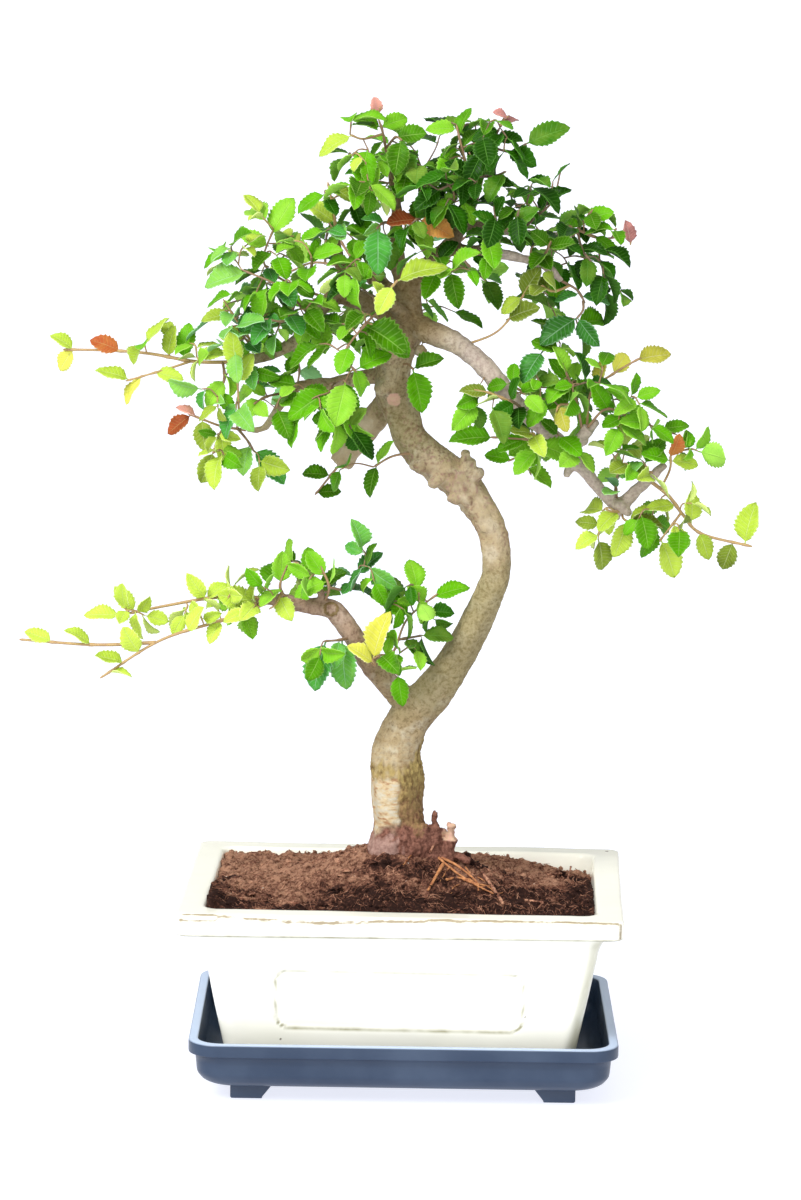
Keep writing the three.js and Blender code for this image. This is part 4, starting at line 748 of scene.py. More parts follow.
def spur_leaf(spur, share, turn, attempt):
    """A leaf of a short spur, in two ranks, facing up and outwards"""
    draw = spur["draw"]
    spot, tangent = along_route(spur["route"], share)
    outward = unit(spot - CROWN_MIDDLE)
    # The higher in the crown, the more level the leaves
    level = min(1.25, max(0.45, (spot[2] - 290) / 90))
    wanted = np.array([draw() - 0.5, draw() - 0.5 - 0.2, draw() - 0.5 + level]) * 1.4
    wanted = wanted + outward * 0.6
    side = unit(np.cross(tangent, wanted)) * turn
    angle = FILL["tip_angle"] if share > 0.97 else FILL["side_angle"]
    angle = angle + 0.45 * draw() + 0.06 * attempt
    along = tangent * math.cos(angle) + side * math.sin(angle)
    along[2] -= FILL["sag"] * draw()
    length = (FILL["least"] + FILL["more"] * draw()) * FILL["shrink"] ** attempt
    return Blade(spot, unit(along), wanted, length, LEAF["half_width"] * (0.92 + 0.22 * draw()))


def fill_clumps(crowd, first_owner, lowest, highest):
    """Short leafy spurs that fill the clumps, each grown from the nearest stem"""
    spurs = []
    for number, (tints, x, y, z, wide, deep, high, count) in enumerate(CLUMPS):
        draw = random_draws(SEEDS["clump"] + SEEDS["clump_step"] * number)
        tints = tints.split()
        middle, reach = np.array([x, y, z], float), np.array([wide, deep, high], float)
        grown = 0
        for _ in range(count * 5):
            if grown >= count:
                break
            offset = np.array([draw() * 2 - 1 for _ in range(3)])
            if offset @ offset > 1:
                continue
            spot = middle + reach * offset
            start = crowd.nearest(spot)
            distance = math.dist(start, spot)
            if distance > FILL["longest"] or distance < FILL["nearest"]:
                continue
            if distance < FILL["shortest"]:
                spot = start + (spot - start) / distance * FILL["shortest"]
            aside = np.array([draw() - 0.5, draw() - 0.5, 0.3 + draw() * 0.5]) * 3
            spur = {
                "node": None, "tint": tints[int(draw() * len(tints))], "draw": draw,
                "leaves": [], "tints": [], "radii": FILL["radii"],
                "route": [start, (start + spot) / 2 + aside, spot],
            }
            owner = first_owner + len(spurs)
            leaves = 2 + int(draw() * 2.6)
            turn = 1 if draw() < 0.5 else -1
            for index in range(leaves):
                share = 1.0 - FILL["spread"] * index / max(leaves, 3)
                for attempt in range(FILL["tries"]):
                    blade = spur_leaf(spur, share, turn, attempt)
                    inside = (blade.samples > lowest).all() and (blade.samples < highest).all()
                    if inside and crowd.is_clear(blade, owner, FILL["clear"]):
                        spur["leaves"].append(blade)
                        same = draw() < FILL["same_tint"]
                        spur["tints"].append(spur["tint"] if same else tints[0])
                        crowd.add_leaf(blade)
                        break
                turn = -turn
            if spur["leaves"]:
                grown += len(spur["leaves"])
                crowd.add_spur(spur["route"], spur["radii"], owner)
                spurs.append(spur)
    return spurs


# Nodes and materials


def join(tree, value, socket):
    """Links a node or an output to a socket, or sets its value; a colour gets its alpha here"""
    if isinstance(value, bpy.types.Node):
        value = next(output for output in value.outputs if output.enabled)
    if isinstance(value, bpy.types.NodeSocket):
        tree.links.new(value, socket)
    else:
        socket.default_value = (*value, 1) if socket.type == "RGBA" else value


def add(tree, kind, inputs=(), stops=(), **settings):
    """Adds one node with its settings, values and links; a node as a value means its output"""
    node = tree.nodes.new("ShaderNode" + kind)
    for name, value in settings.items():
        setattr(node, name, value)
    for key, value in dict(inputs).items():
        join(tree, value, node.inputs[key])
    for index, (position, colour) in enumerate(stops):
        ramp = node.color_ramp.elements
        stop = ramp[index] if index < 2 else ramp.new(position)
        stop.position = position
        stop.color = (*colour, 1.0)
    return node


def new_material(name):
    """A material with its node tree and its Principled shader"""
    material = bpy.data.materials.new(name)
    material.use_nodes = True
    return material, material.node_tree, material.node_tree.nodes["Principled BSDF"]


def connect(tree, shader, **links):
    """Links or values for the shader's sockets, with _ for a space in their names"""
    for name, value in links.items():
        join(tree, value, shader.inputs[name.replace("_", " ")])


def grey(black, white):
    """Stops of a ramp from black at one value to white at another"""
    return sorted([(black, (0.0, 0.0, 0.0)), (white, (1.0, 1.0, 1.0))])


def glazed_stoneware(settings):
    """Cream glaze fired on stoneware: glossy, soft-edged, thin and brown where it breaks"""
    material, tree, shader = new_material("glazed_stoneware")
    spot = add(tree, "TexCoord").outputs["Object"]
    cloud = add(tree, "TexNoise", {"Vector": spot, "Scale": 28.0, "Detail": 3.0})
    colours = {6: settings.glaze, 7: settings.glaze_warm}
    warm = add(tree, "Mix", {0: cloud, **colours}, data_type="RGBA")
    # Iron specks under a millimetre wide, some 25 mm apart
    speck = add(tree, "TexVoronoi", {"Vector": spot, "Scale": 62.0})
    dot = add(tree, "ValToRGB", {0: speck.outputs["Distance"]}, grey(0.07, 0.035))
    pick = add(tree, "TexNoise", {"Vector": spot, "Scale": 31.0, "Detail": 0.0})
    rare = add(tree, "ValToRGB", {0: pick}, grey(0.64, 0.68))
    scattered = add(tree, "Math", {0: dot, 1: rare}, operation="MULTIPLY")
    known = add(tree, "Attribute", attribute_name="speck").outputs["Fac"]
    placed = add(tree, "ValToRGB", {0: known}, grey(0.5, 0.8))
    specks = add(tree, "Math", {0: scattered, 1: placed}, operation="MAXIMUM")
    # Along the lip's edge the glaze is broken into patches two to six millimetres long
    rim = add(tree, "Attribute", attribute_name="rim").outputs["Fac"]
    broken_up = {"Scale": 260.0, "Detail": 5.0, "Roughness": 0.65}
    patch = add(tree, "TexNoise", {"Vector": spot, **broken_up})
    broken = add(tree, "Math", {0: patch, 1: rim}, operation="MULTIPLY")
    bare = add(tree, "ValToRGB", {0: broken}, grey(0.14, 0.38))
    # Glaze pools and darkens round the panels, most at their lower edges, and in a line under the
    # lip; the darker lower edges and the line under the lip are partly painted shade
    pool = add(tree, "Attribute", attribute_name="pool").outputs["Fac"]
    thick = add(tree, "TexNoise", {"Vector": spot, "Scale": 110.0, "Detail": 3.0})
    uneven = add(tree, "Math", {0: thick, 1: pool}, operation="MULTIPLY")
    line = add(tree, "ValToRGB", {0: uneven}, grey(0.06, 0.5))
    # Painted shade: the right front corner is darkened olive, broken into upright streaks
    stain = add(tree, "Attribute", attribute_name="stain").outputs["Fac"]
    streak_stretch = add(tree, "Mapping", {"Vector": spot, "Scale": (120.0, 120.0, 28.0)})
    shade_streaks = add(tree, "TexNoise", {"Vector": streak_stretch, "Scale": 1.0, "Detail": 4.0})
    corner_shade_share = add(tree, "Math", {0: shade_streaks, 1: stain}, operation="MULTIPLY")
    corner_shaded = add(tree, "Mix", {0: corner_shade_share, 6: warm, 7: settings.corner_shade}, data_type="RGBA")
    lined = add(tree, "Mix", {0: line, 6: corner_shaded, 7: settings.glaze_pool_and_shade}, data_type="RGBA")
    specked = add(tree, "Mix", {0: specks, 6: lined, 7: settings.speck}, data_type="RGBA")
    finished = add(tree, "Mix", {0: bare, 6: specked, 7: settings.clay}, data_type="RGBA")
    dull = add(tree, "Math", {0: bare, 1: 0.4, 2: 0.12}, operation="MULTIPLY_ADD")
    ripple = add(tree, "TexNoise", {"Vector": spot, "Scale": 45.0, "Detail": 2.0})
    height = add(tree, "Math", {0: bare, 1: -0.25, 2: ripple}, operation="MULTIPLY_ADD")
    bump = add(tree, "Bump", {"Height": height, "Strength": 0.25, "Distance": 0.0006})
    connect(tree, shader, Base_Color=finished, Roughness=dull, Normal=bump, IOR=1.5)
    return material


def moulded_plastic(name, colour, dust_and_highlight):
    """Injection-moulded polypropylene: satin, with a fine grain, a film of dust and a painted
    highlight along the top of the rim
    """
    material, tree, shader = new_material(name)
    spot = add(tree, "TexCoord").outputs["Object"]
    film = add(tree, "TexNoise", {"Vector": spot, "Scale": 35.0, "Detail": 5.0})
    share = add(tree, "ValToRGB", {0: film}, grey(0.42, 0.75))
    thin = add(tree, "Math", {0: share, 1: 0.22}, operation="MULTIPLY")
    filmed = add(tree, "Mix", {0: thin, 6: colour, 7: dust_and_highlight}, data_type="RGBA")
    # Painted highlight: the top of the rim, 28 mm up, is painted pale in a colour drawn from the
    # dust
    up = add(tree, "SeparateXYZ", {0: spot}).outputs["Z"]
    edge = {"From Min": 0.0282, "From Max": 0.0288, "To Max": 0.95}
    rim_highlight = add(tree, "MapRange", {"Value": up, **edge})
    rim_highlight_colour = [min(1, 0.2 + c * 2.2) for c in dust_and_highlight]
    tone = add(tree, "Mix", {0: rim_highlight, 6: filmed, 7: rim_highlight_colour}, data_type="RGBA")
    # Mould grain is near 0.1 mm, drawn here at half a millimetre so that it shows
    grain = add(tree, "TexNoise", {"Vector": spot, "Scale": 2000.0, "Detail": 1.0})
    bump = add(tree, "Bump", {"Height": grain, "Strength": 0.12, "Distance": 0.0003})
    gloss = add(tree, "Math", {0: share, 1: 0.2, 2: 0.3}, operation="MULTIPLY_ADD")
    connect(tree, shader, Base_Color=tone, Roughness=gloss, Normal=bump, IOR=1.49)
    return material


def damp_peat(name, settings, lightness=1.0):
    """Peat compost: matt red-brown fibre with darker damp crumbs"""
    material, tree, shader = new_material(name)
    spot = add(tree, "TexCoord").outputs["Object"]
    # Fibres are a millimetre or two long, damp patches one to two centimetres
    fibrous = {"Scale": 640.0, "Detail": 5.0, "Roughness": 0.72}
    crumb = add(tree, "TexNoise", {"Vector": spot, **fibrous})
    patch = add(tree, "TexNoise", {"Vector": spot, "Scale": 150.0, "Detail": 5.0})
    tone = add(tree, "Math", {0: crumb, 1: 0.95, 2: -0.22}, operation="MULTIPLY_ADD")
    damp = add(tree, "Attribute", attribute_name="damp").outputs["Fac"]
    dried = add(tree, "Math", {0: damp, 1: -0.195, 2: tone}, operation="MULTIPLY_ADD")
    mixed = add(tree, "Math", {0: patch, 1: 0.55, 2: dried}, operation="MULTIPLY_ADD")
    stops = [
        (position, [c * lightness for c in colour])
        for position, colour in (
            (0.36, settings.dark), (0.68, settings.light), (0.5, settings.middle)
        )
    ]
    colour = add(tree, "ValToRGB", {0: mixed}, stops)
    bump = add(tree, "Bump", {"Height": crumb, "Strength": 0.8, "Distance": 0.0012})
    connect(tree, shader, Base_Color=colour, Roughness=0.95, Normal=bump, Specular_IOR_Level=0.15)
    return material


def elm_bark(settings):
    """Elm bark: thin and buff with pale and grey patches, old and grooved or red at the foot"""
    material, tree, shader = new_material("elm_bark")
    spot = add(tree, "TexCoord").outputs["Object"]
    # Broad patches one to two centimetres wide
    patchy = {"Scale": 62.0, "Detail": 5.0, "Roughness": 0.6}
    patch = add(tree, "TexNoise", {"Vector": spot, **patchy})
    stops = [(0.3, settings.bark_dark), (0.7, settings.bark_pale), (0.5, settings.bark)]
    base = add(tree, "ValToRGB", {0: patch}, stops)
    # Lichen-grey films a few millimetres wide
    film = add(tree, "TexNoise", {"Vector": spot, "Scale": 130.0, "Detail": 4.0})
    filmed = add(tree, "ValToRGB", {0: film}, grey(0.52, 0.66))
    thin = add(tree, "Math", {0: filmed, 1: 0.55}, operation="MULTIPLY")
    lichened = add(tree, "Mix", {0: thin, 6: base, 7: settings.bark_film}, data_type="RGBA")
    # Pores and flakes about 1.5 mm across
    pored = {"Scale": 560.0, "Detail": 4.0, "Roughness": 0.65}
    fleck = add(tree, "TexNoise", {"Vector": spot, **pored})
    flecks = add(tree, "ValToRGB", {0: fleck}, grey(0.52, 0.34))
    faint = add(tree, "Math", {0: flecks, 1: 0.6}, operation="MULTIPLY")
    colour = add(tree, "Mix", {0: faint, 6: lichened, 7: settings.bark_fleck}, data_type="RGBA")
    # Fine rings cross the cream bark, grooves run up the old bark, flakes cover the red foot
    rings = add(tree, "Mapping", {"Vector": spot, "Scale": (190.0, 190.0, 560.0)})
    ring = add(tree, "TexNoise", {"Vector": rings, "Scale": 1.0, "Detail": 3.0})
    grooves = add(tree, "Mapping", {"Vector": spot, "Scale": (520.0, 520.0, 260.0)})
    groove = add(tree, "TexNoise", {"Vector": grooves, "Scale": 1.0, "Detail": 5.0})
    layers = (
        ("olive", fleck, (0.36, settings.bark_olive_dark), (0.6, settings.bark_olive)),
        ("fair", film, (0.36, settings.bark), (0.62, settings.bark_fair)),
        ("grey", fleck, (0.3, settings.bark_mauve), (0.7, settings.bark_grey)),
        (
            "pale", ring, (0.33, settings.bark_ring), (0.62, settings.bark_film),
            (0.46, settings.bark_cream),
        ),
        ("old", groove, (0.34, settings.bark_furrow), (0.56, settings.bark_old)),
        ("red", fleck, (0.38, settings.bark_foot), (0.66, settings.bark_red)),
        ("mauve", fleck, (0.3, settings.bark_skin_dark), (0.7, settings.bark_skin)),
        # The dark layer is painted shade in the crown and on the downward faces under the bend, and
        # the real dark rings of healed cuts
        ("dark", fleck, (0.35, settings.bark_furrow), (0.75, settings.bark_dark)),
        ("scar", fleck, (0.3, settings.bark_scar), (0.8, settings.bark_cream)),
    )
    for name, pattern, *stops in layers:
        share = add(tree, "Attribute", attribute_name=name).outputs["Fac"]
        look = add(tree, "ValToRGB", {0: pattern}, stops)
        colour = add(tree, "Mix", {0: share, 6: colour, 7: look}, data_type="RGBA")
    rough = add(tree, "Math", {0: fleck, 1: film}, operation="ADD")
    bump = add(tree, "Bump", {"Height": rough, "Strength": 0.75, "Distance": 0.001})
    connect(tree, shader, Base_Color=colour, Roughness=0.8, Normal=bump, Specular_IOR_Level=0.2)
    return material


def young_shoot(settings):
    """Bark of this year's shoots: smooth and orange-brown, greyer on older twigs"""
    material, tree, shader = new_material("young_shoot")
    spot = add(tree, "TexCoord").outputs["Object"]
    age = add(tree, "Attribute", attribute_name="age").outputs["Fac"]
    mottle = add(tree, "TexNoise", {"Vector": spot, "Scale": 350.0, "Detail": 3.0})
    shift = add(tree, "Math", {0: mottle, 1: 0.5, 2: -0.25}, operation="MULTIPLY_ADD")
    grown = add(tree, "Math", {0: age, 1: shift}, operation="ADD")
    stops = [(0.05, settings.shoot_green), (0.95, settings.shoot_old), (0.4, settings.shoot_brown)]
    colour = add(tree, "ValToRGB", {0: grown}, stops)
    bump = add(tree, "Bump", {"Height": mottle, "Strength": 0.4, "Distance": 0.0004})
    connect(tree, shader, Base_Color=colour, Roughness=0.6, Normal=bump)
    return material


def fine_root(settings):
    """Rootlets: dry orange-brown fibre with a paler skin"""
    material, tree, shader = new_material("fine_root")
    spot = add(tree, "TexCoord").outputs["Object"]
    streak = add(tree, "TexNoise", {"Vector": spot, "Scale": 500.0, "Detail": 4.0})
    stops = [(0.32, settings.root_dark), (0.66, settings.root_light)]
    colour = add(tree, "ValToRGB", {0: streak}, stops)
    bump = add(tree, "Bump", {"Height": streak, "Strength": 0.6, "Distance": 0.0004})
    connect(tree, shader, Base_Color=colour, Roughness=0.7, Normal=bump)
    return material


# Linear yellow-green that the palest leaves lean towards: painted sunlight on a leaf
SUNLIT_LEAF = (0.55, 0.62, 0.12)
LEAF_RIBS = 9.5


def elm_leaf(name, face, vein_and_rim_light, gloss, rib_strength=0.3, lift=-1.0):
    """Elm leaf: waxy face, slender pale rib, side ribs to the teeth, a pale margin of painted rim
    light, and a tone from painted shade to painted sunlight
    """
    material, tree, shader = new_material(name)
    parts = add(tree, "SeparateXYZ", {0: add(tree, "UVMap", uv_map="leaf")})
    along, across = parts.outputs["X"], parts.outputs["Y"]
    middle = add(tree, "Math", {0: across, 1: 0.5}, operation="SUBTRACT")
    out = add(tree, "Math", {0: middle}, operation="ABSOLUTE")
    # Nine side ribs on each half run forward to the teeth
    lean = add(tree, "Math", {0: out, 1: -0.34, 2: along}, operation="MULTIPLY_ADD")
    phase = add(tree, "Math", {0: lean, 1: LEAF_RIBS * 2 * math.pi}, operation="MULTIPLY")
    wave = add(tree, "Math", {0: phase}, operation="SINE")
    rib = add(tree, "ValToRGB", {0: wave}, grey(0.5, 1.0))
    ribs = add(tree, "Math", {0: rib, 1: 0.35}, operation="MULTIPLY")
    midrib = add(tree, "ValToRGB", {0: out}, grey(0.035, 0.012))
    # The pale margin along the leaf's edge is painted rim light
    margin = add(tree, "ValToRGB", {0: out}, grey(0.43, 0.5))
    both = add(tree, "Math", {0: ribs, 1: midrib}, operation="MAXIMUM")
    lines = add(tree, "Math", {0: both, 1: margin}, operation="MAXIMUM")
    spot = add(tree, "TexCoord").outputs["Object"]
    cloud = add(tree, "TexNoise", {"Vector": spot, "Scale": 160.0, "Detail": 3.0})
    # Painted light and shade: each leaf's tone, partly random, picks between a painted shaded copy
    # of its colour and a painted sunlit one
    tone = add(tree, "Attribute", attribute_name="tone").outputs["Fac"]
    own = add(tree, "Math", {0: tone, 1: 0.8, 2: -0.15}, operation="MULTIPLY_ADD")
    mixed = add(tree, "Math", {0: cloud, 1: 0.5, 2: own}, operation="MULTIPLY_ADD")
    sunlit_face = [c * 0.95 + 0.3 * pale for c, pale in zip(face, SUNLIT_LEAF)]
    shaded = [c * 0.36 for c in face]
    shade = add(tree, "ValToRGB", {0: mixed}, [(0.1, shaded), (0.92, sunlit_face), (0.5, face)])
    strength = add(tree, "Math", {0: lines, 1: rib_strength}, operation="MULTIPLY")
    colour = add(tree, "Mix", {0: strength, 6: shade, 7: vein_and_rim_light}, data_type="RGBA")
    relief = add(tree, "Math", {0: both, 1: lift}, operation="MULTIPLY")
    bump = add(tree, "Bump", {"Height": relief, "Strength": 0.6, "Distance": 0.0006})
    connect(tree, shader, Base_Color=colour, Roughness=gloss, Normal=bump, Specular_IOR_Level=0.07)
    return material


# Meshes


def mesh_of(bm, name):
    mesh = bpy.data.meshes.new(name)
    bm.to_mesh(mesh)
    bm.free()
    return mesh


def object_of(mesh, name, materials=()):
    for material in materials:
        mesh.materials.append(material)
    made = bpy.data.objects.new(name, mesh)
    bpy.context.scene.collection.objects.link(made)
    return made


def smoothed(mesh):
    mesh.polygons.foreach_set("use_smooth", [True] * len(mesh.polygons))
    return mesh


def finished_shape(bm, name):
    """The mesh of closed shapes, with its faces turned outwards"""
    bmesh.ops.recalc_face_normals(bm, faces=bm.faces)
    return mesh_of(bm, name)


def piece_from(bm, name, material, smooth=True):
    """Makes the object of a finished mesh and lets it ride on the body"""
    mesh = finished_shape(bm, name)
    piece = object_of(smoothed(mesh) if smooth else mesh, name, [material])
    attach(piece, "root")
    return piece


def rolled(bm, turns, steps, rule):
    """A grid rolled into a closed tube: rule(turn, step) is the place of a vertex"""
    made = bmesh.ops.create_grid(bm, x_segments=turns, y_segments=steps, size=0.5)["verts"]
    for vertex in made:
        turn = round((vertex.co.x + 0.5) * turns) % turns
        step = round((vertex.co.y + 0.5) * steps)
        vertex.co = rule(turn, step)
    seam = [v for v in made if v.is_boundary]
    bmesh.ops.remove_doubles(bm, verts=seam, dist=1e-7)
    made = [v for v in made if v.is_valid]
    edges = [e for v in made for e in v.link_edges if e.is_boundary]
    bmesh.ops.holes_fill(bm, edges=list(set(edges)), sides=0)


def frames_along(route):
    """Two directions across a route at each of its points, which turn as little as possible"""
    last = len(route) - 1
    side = np.array([0.36, 0.93, 0.1])
    across = []
    for index in range(last + 1):
        tangent = unit(route[min(index + 1, last)] - route[max(index - 1, 0)])
        side = unit(side - tangent * (side @ tangent))
        across.append((side, np.cross(side, tangent)))
    return across


def tube(bm, route, radii, sides, relief=lambda angle, step: 1.0):
    """A tapered tube through a route of points in table millimetres"""
    across = frames_along(route)

    def rule(turn, step):
        angle = 2 * math.pi * turn / sides
        reach = radii[step] * relief(angle, step)
        first, second = across[step]
        return place(*(route[step] + (first * math.cos(angle) + second * math.sin(angle)) * reach))

    rolled(bm, sides, len(route) - 1, rule)


def smooth_route(points, spacing):
    """A Catmull-Rom curve through points with a value at the end of each, sampled at a spacing"""
    points = [np.array(point, float) for point in points]
    found = []
    for index in range(len(points) - 1):
        before = points[index - 1] if index else points[0] * 2 - points[1]
        after = points[index + 2] if index + 2 < len(points) else points[-1] * 2 - points[-2]
        start, end = points[index], points[index + 1]
        steps = max(2, round(math.dist(start[:3], end[:3]) / spacing))
        for step in range(steps):
            t = step / steps
            curve = 0.5 * (
                2 * start + (end - before) * t
                + (2 * before - 5 * start + 4 * end - after) * t * t
                + (3 * start - before - 3 * end + after) * t * t * t
            )
            curve[3:] = start[3:] + (end[3:] - start[3:]) * t
            found.append(curve)
    found.append(points[-1])
    return found


def between(start, end, t):
    """The point at a share of the way from one flat point to another"""
    return start[0] + (end[0] - start[0]) * t, start[1] + (end[1] - start[1]) * t


def rounded_rectangle(half_x, half_y, corner, counts):
    """Points round a rounded rectangle; counts are those of a long side, a short side, a corner"""
    long, short, arc = counts
    x, y = half_x - corner, half_y - corner
    # Each quarter is a corner, by its centre, and the straight side after it, by its ends
    quarters = (
        ((x, -y), (half_x, -y), (half_x, y), short), ((x, y), (x, half_y), (-x, half_y), long),
        ((-x, y), (-half_x, y), (-half_x, -y), short),
        ((-x, -y), (-x, -half_y), (x, -half_y), long),
    )
    found = []
    for quarter, (centre, start, end, straight) in enumerate(quarters):
        turn = quarter * math.pi / 2
        for step in range(arc):
            angle = turn - math.pi / 2 + math.pi / 2 * step / arc
            found.append(
                (centre[0] + corner * math.cos(angle), centre[1] + corner * math.sin(angle))
            )
        found += [between(start, end, step / straight) for step in range(straight)]
    return found


def layered(bm, layers, counts, rule=lambda x, y, z, step: (x, y, z)):
    """A closed block of rounded rectangles: each layer has its half sizes, corner and height"""
    rings = [
        rounded_rectangle(half_x, half_y, corner, counts) for half_x, half_y, corner, _ in layers
    ]

    def put(turn, step):
        x, y = rings[step][turn]
        return place(*rule(x, y, layers[step][3], step))

    rolled(bm, len(rings[0]), len(layers) - 1, put)


def fillet(profile, index, radius, steps=4):
    """Points that round one corner of a profile"""
    before, corner, after = (np.array(profile[index + offset], float) for offset in (-1, 0, 1))
    start = corner + unit(before - corner) * radius
    end = corner + unit(after - corner) * radius
    shares = [step / steps for step in range(steps + 1)]
    return [start * (1 - t) ** 2 + corner * 2 * t * (1 - t) + end * t * t for t in shares]


def rounded_profile(points):
    """A profile whose corners with a third number are rounded by that radius"""
    plain = [point[:2] for point in points]
    found = []
    for index, point in enumerate(points):
        if len(point) == 3:
            found += [tuple(p) for p in fillet(plain, index, point[2])]
        else:
            found.append(tuple(point))
    return found


def denser(profile, spacing):
    """A profile with points added so that none lie further apart than the spacing"""
    found = [profile[0]]
    for start, end in zip(profile, profile[1:]):
        steps = max(1, math.ceil(math.dist(start, end) / spacing))
        found += [between(start, end, step / steps) for step in range(1, steps + 1)]
    return found


def heap(parts):
    """Gathers small meshes, given as bmeshes, into one"""
    whole = bmesh.new()
    for part in parts:
        mesh = mesh_of(part, "part")
        whole.from_mesh(mesh)
        bpy.data.meshes.remove(mesh)
    return whole


def single_tube(*arguments):
    bm = bmesh.new()
    tube(bm, *arguments)
    return bm


def repeated(shapes):
    """Small meshes, each as often as it is listed, in one bmesh"""
    whole = bmesh.new()
    for shape in shapes:
        whole.from_mesh(shape)
    return whole


def to_frame(points):
    """Table millimetres to metres in the frame, for many points"""
    return ((points + np.array(SHIFT)) * MM).astype(np.float32).ravel()


def set_attribute(mesh, name, values):
    attribute = mesh.attributes.new(name, "FLOAT", "POINT")
    attribute.data.foreach_set("value", np.asarray(values, np.float32))


def vertices_of(mesh, kind="co"):
    found = np.zeros(len(mesh.vertices) * 3, np.float32)
    mesh.vertices.foreach_get(kind, found)
    return found.reshape(-1, 3).astype(float)


def coordinates(mesh):
    """Vertices in table millimetres"""
    return vertices_of(mesh) / MM - np.array(SHIFT)


def move_to(mesh, points):
    """Moves the vertices to places in table millimetres"""
    mesh.vertices.foreach_set("co", to_frame(points))


def applied(piece):
    """Applies all modifiers of a piece"""
    graph = bpy.context.evaluated_depsgraph_get()
    mesh = bpy.data.meshes.new_from_object(piece.evaluated_get(graph))
    old = piece.data
    piece.modifiers.clear()
    piece.data = mesh
    bpy.data.meshes.remove(old)


def combine(piece, others, operation):
    """Fuses other closed pieces with this one, or cuts them from it, and removes them"""
    for other in others:
        modifier = piece.modifiers.new(other.name, "BOOLEAN")
        modifier.operation = operation
        modifier.object = other
        modifier.solver = "EXACT"
    bpy.context.view_layer.update()
    applied(piece)
    for other in others:
        bpy.data.objects.remove(other)


# Sizes and colours that a user may change


def colour_property(name, description, code):
    return FloatVectorProperty(
        name=name, description=description, default=linear(code), subtype="COLOR", min=0, max=1
    )


def length_property(name, description, value):
    return FloatProperty(
        name=name, description=description, default=value * MM, unit="LENGTH", min=0
    )


class BonsaiPot(bpy.types.PropertyGroup):
    lip_edge: length_property("Lip edge", "Radius of the glazed edges of the lip", 1.6)
    panel_depth: length_property("Panel depth", "How far the panels are sunk", 0.6)
    unevenness: length_property("Unevenness", "How far the hand-pressed walls wander", 0.35)
    glaze: colour_property("Glaze", "Cream glaze", "#FDFCF2")
    glaze_warm: colour_property("Warm glaze", "Ivory patches of the glaze", "#FAF9E8")
    # The pooled glaze colour also paints the shade line under the lip and along the lower panel
    # edges
    glaze_pool_and_shade: colour_property("Pooled glaze", "Thick glaze in the panel's corners", "#9C9878")
    # The corner shade colour paints the shade on the right front corner as olive streaks
    corner_shade: colour_property("Runs", "Olive runs of glaze at the corners", "#8E8A50")
    speck: colour_property("Specks", "Iron specks in the glaze", "#5A4A33")
    clay: colour_property("Clay", "Brown clay where the glaze breaks", "#A29478")


class BonsaiTray(bpy.types.PropertyGroup):
    plastic: colour_property("Plastic", "Slate-blue plastic", "#20334C")
    # The dust colour also gives the painted highlight on the top of the rim
    dust_and_highlight: colour_property("Dust", "Pale film on the plastic", "#637389")
    mesh_plastic: colour_property("Mesh", "Dark green plastic of the drain meshes", "#26382B")


class BonsaiSoil(bpy.types.PropertyGroup):
    dark: colour_property("Damp peat", "Dark crumbs", "#2B1813")
    middle: colour_property("Peat", "Most of the peat", "#694436")
    light: colour_property("Dry peat", "Pale dry fibre", "#A57C64")
    chip: colour_property("Chips", "Pieces of bark in the peat", "#8A4A35")
    grit: colour_property("Grit", "White specks", "#E9E2D6")
    crumbs: IntProperty(name="Crumbs", description="Loose crumbs", default=2300, min=0)
    fibres: IntProperty(name="Fibres", description="Peat fibres", default=1500, min=0)


class BonsaiWood(bpy.types.PropertyGroup):
    grain: length_property("Grain", "Size of the mesh cells of the wood", 0.8)
    bark: colour_property("Bark", "Olive-buff bark", "#A5926F")
    bark_dark: colour_property("Dark bark", "Olive-brown patches", "#8C7956")
    bark_pale: colour_property("Pale bark", "Pale patches", "#C2B08F")
    bark_film: colour_property("Film", "Lichen-grey film on the bark", "#C3BAA4")
    bark_fleck: colour_property("Flecks", "Pores and flakes", "#5E4A2C")
    bark_grey: colour_property("Grey bark", "Grey ridges of the branches", "#CDBFB0")
    bark_mauve: colour_property("Mauve bark", "Mauve-brown hollows of the branches", "#A28F86")
    bark_cream: colour_property("Cream bark", "Smooth bark above the roots", "#C4AF8A")
    bark_ring: colour_property("Bark rings", "Fine rings across the cream bark", "#A07A58")
    bark_olive: colour_property("Olive bark", "Ridges of the olive bark", "#9A8F69")
    bark_olive_dark: colour_property("Dark olive", "Hollows of the olive bark", "#7D7149")
    bark_fair: colour_property("Fair bark", "Rubbed bark of the bend", "#BAA98C")
    bark_old: colour_property("Old bark", "Ridges of the old bark", "#A38E58")
    bark_furrow: colour_property("Furrows", "Furrows of the old bark", "#6B5430")
    bark_red: colour_property("Red bark", "Flaking bark at the foot", "#8F6252")
    bark_foot: colour_property("Foot", "Damp bark at the foot", "#5A382D")
    bark_skin: colour_property("Root skin", "Smooth mauve skin of the root crown", "#AA8A7E")
    bark_skin_dark: colour_property("Dark skin", "Hollows of the mauve skin", "#805F54")
    bark_scar: colour_property("Cut wood", "Healed cuts", "#C9988A")
    shoot_green: colour_property("Young shoot", "Yellow-green tips", "#C0A468")
    shoot_brown: colour_property("Brown shoot", "Tan shoots", "#A8845E")
    shoot_old: colour_property("Old twig", "Grey-brown twigs", "#7A6650")
    root_dark: colour_property("Root", "Brown rootlets", "#8A4E2C")
    root_light: colour_property("Pale root", "Orange skin of the rootlets", "#CB8C58")


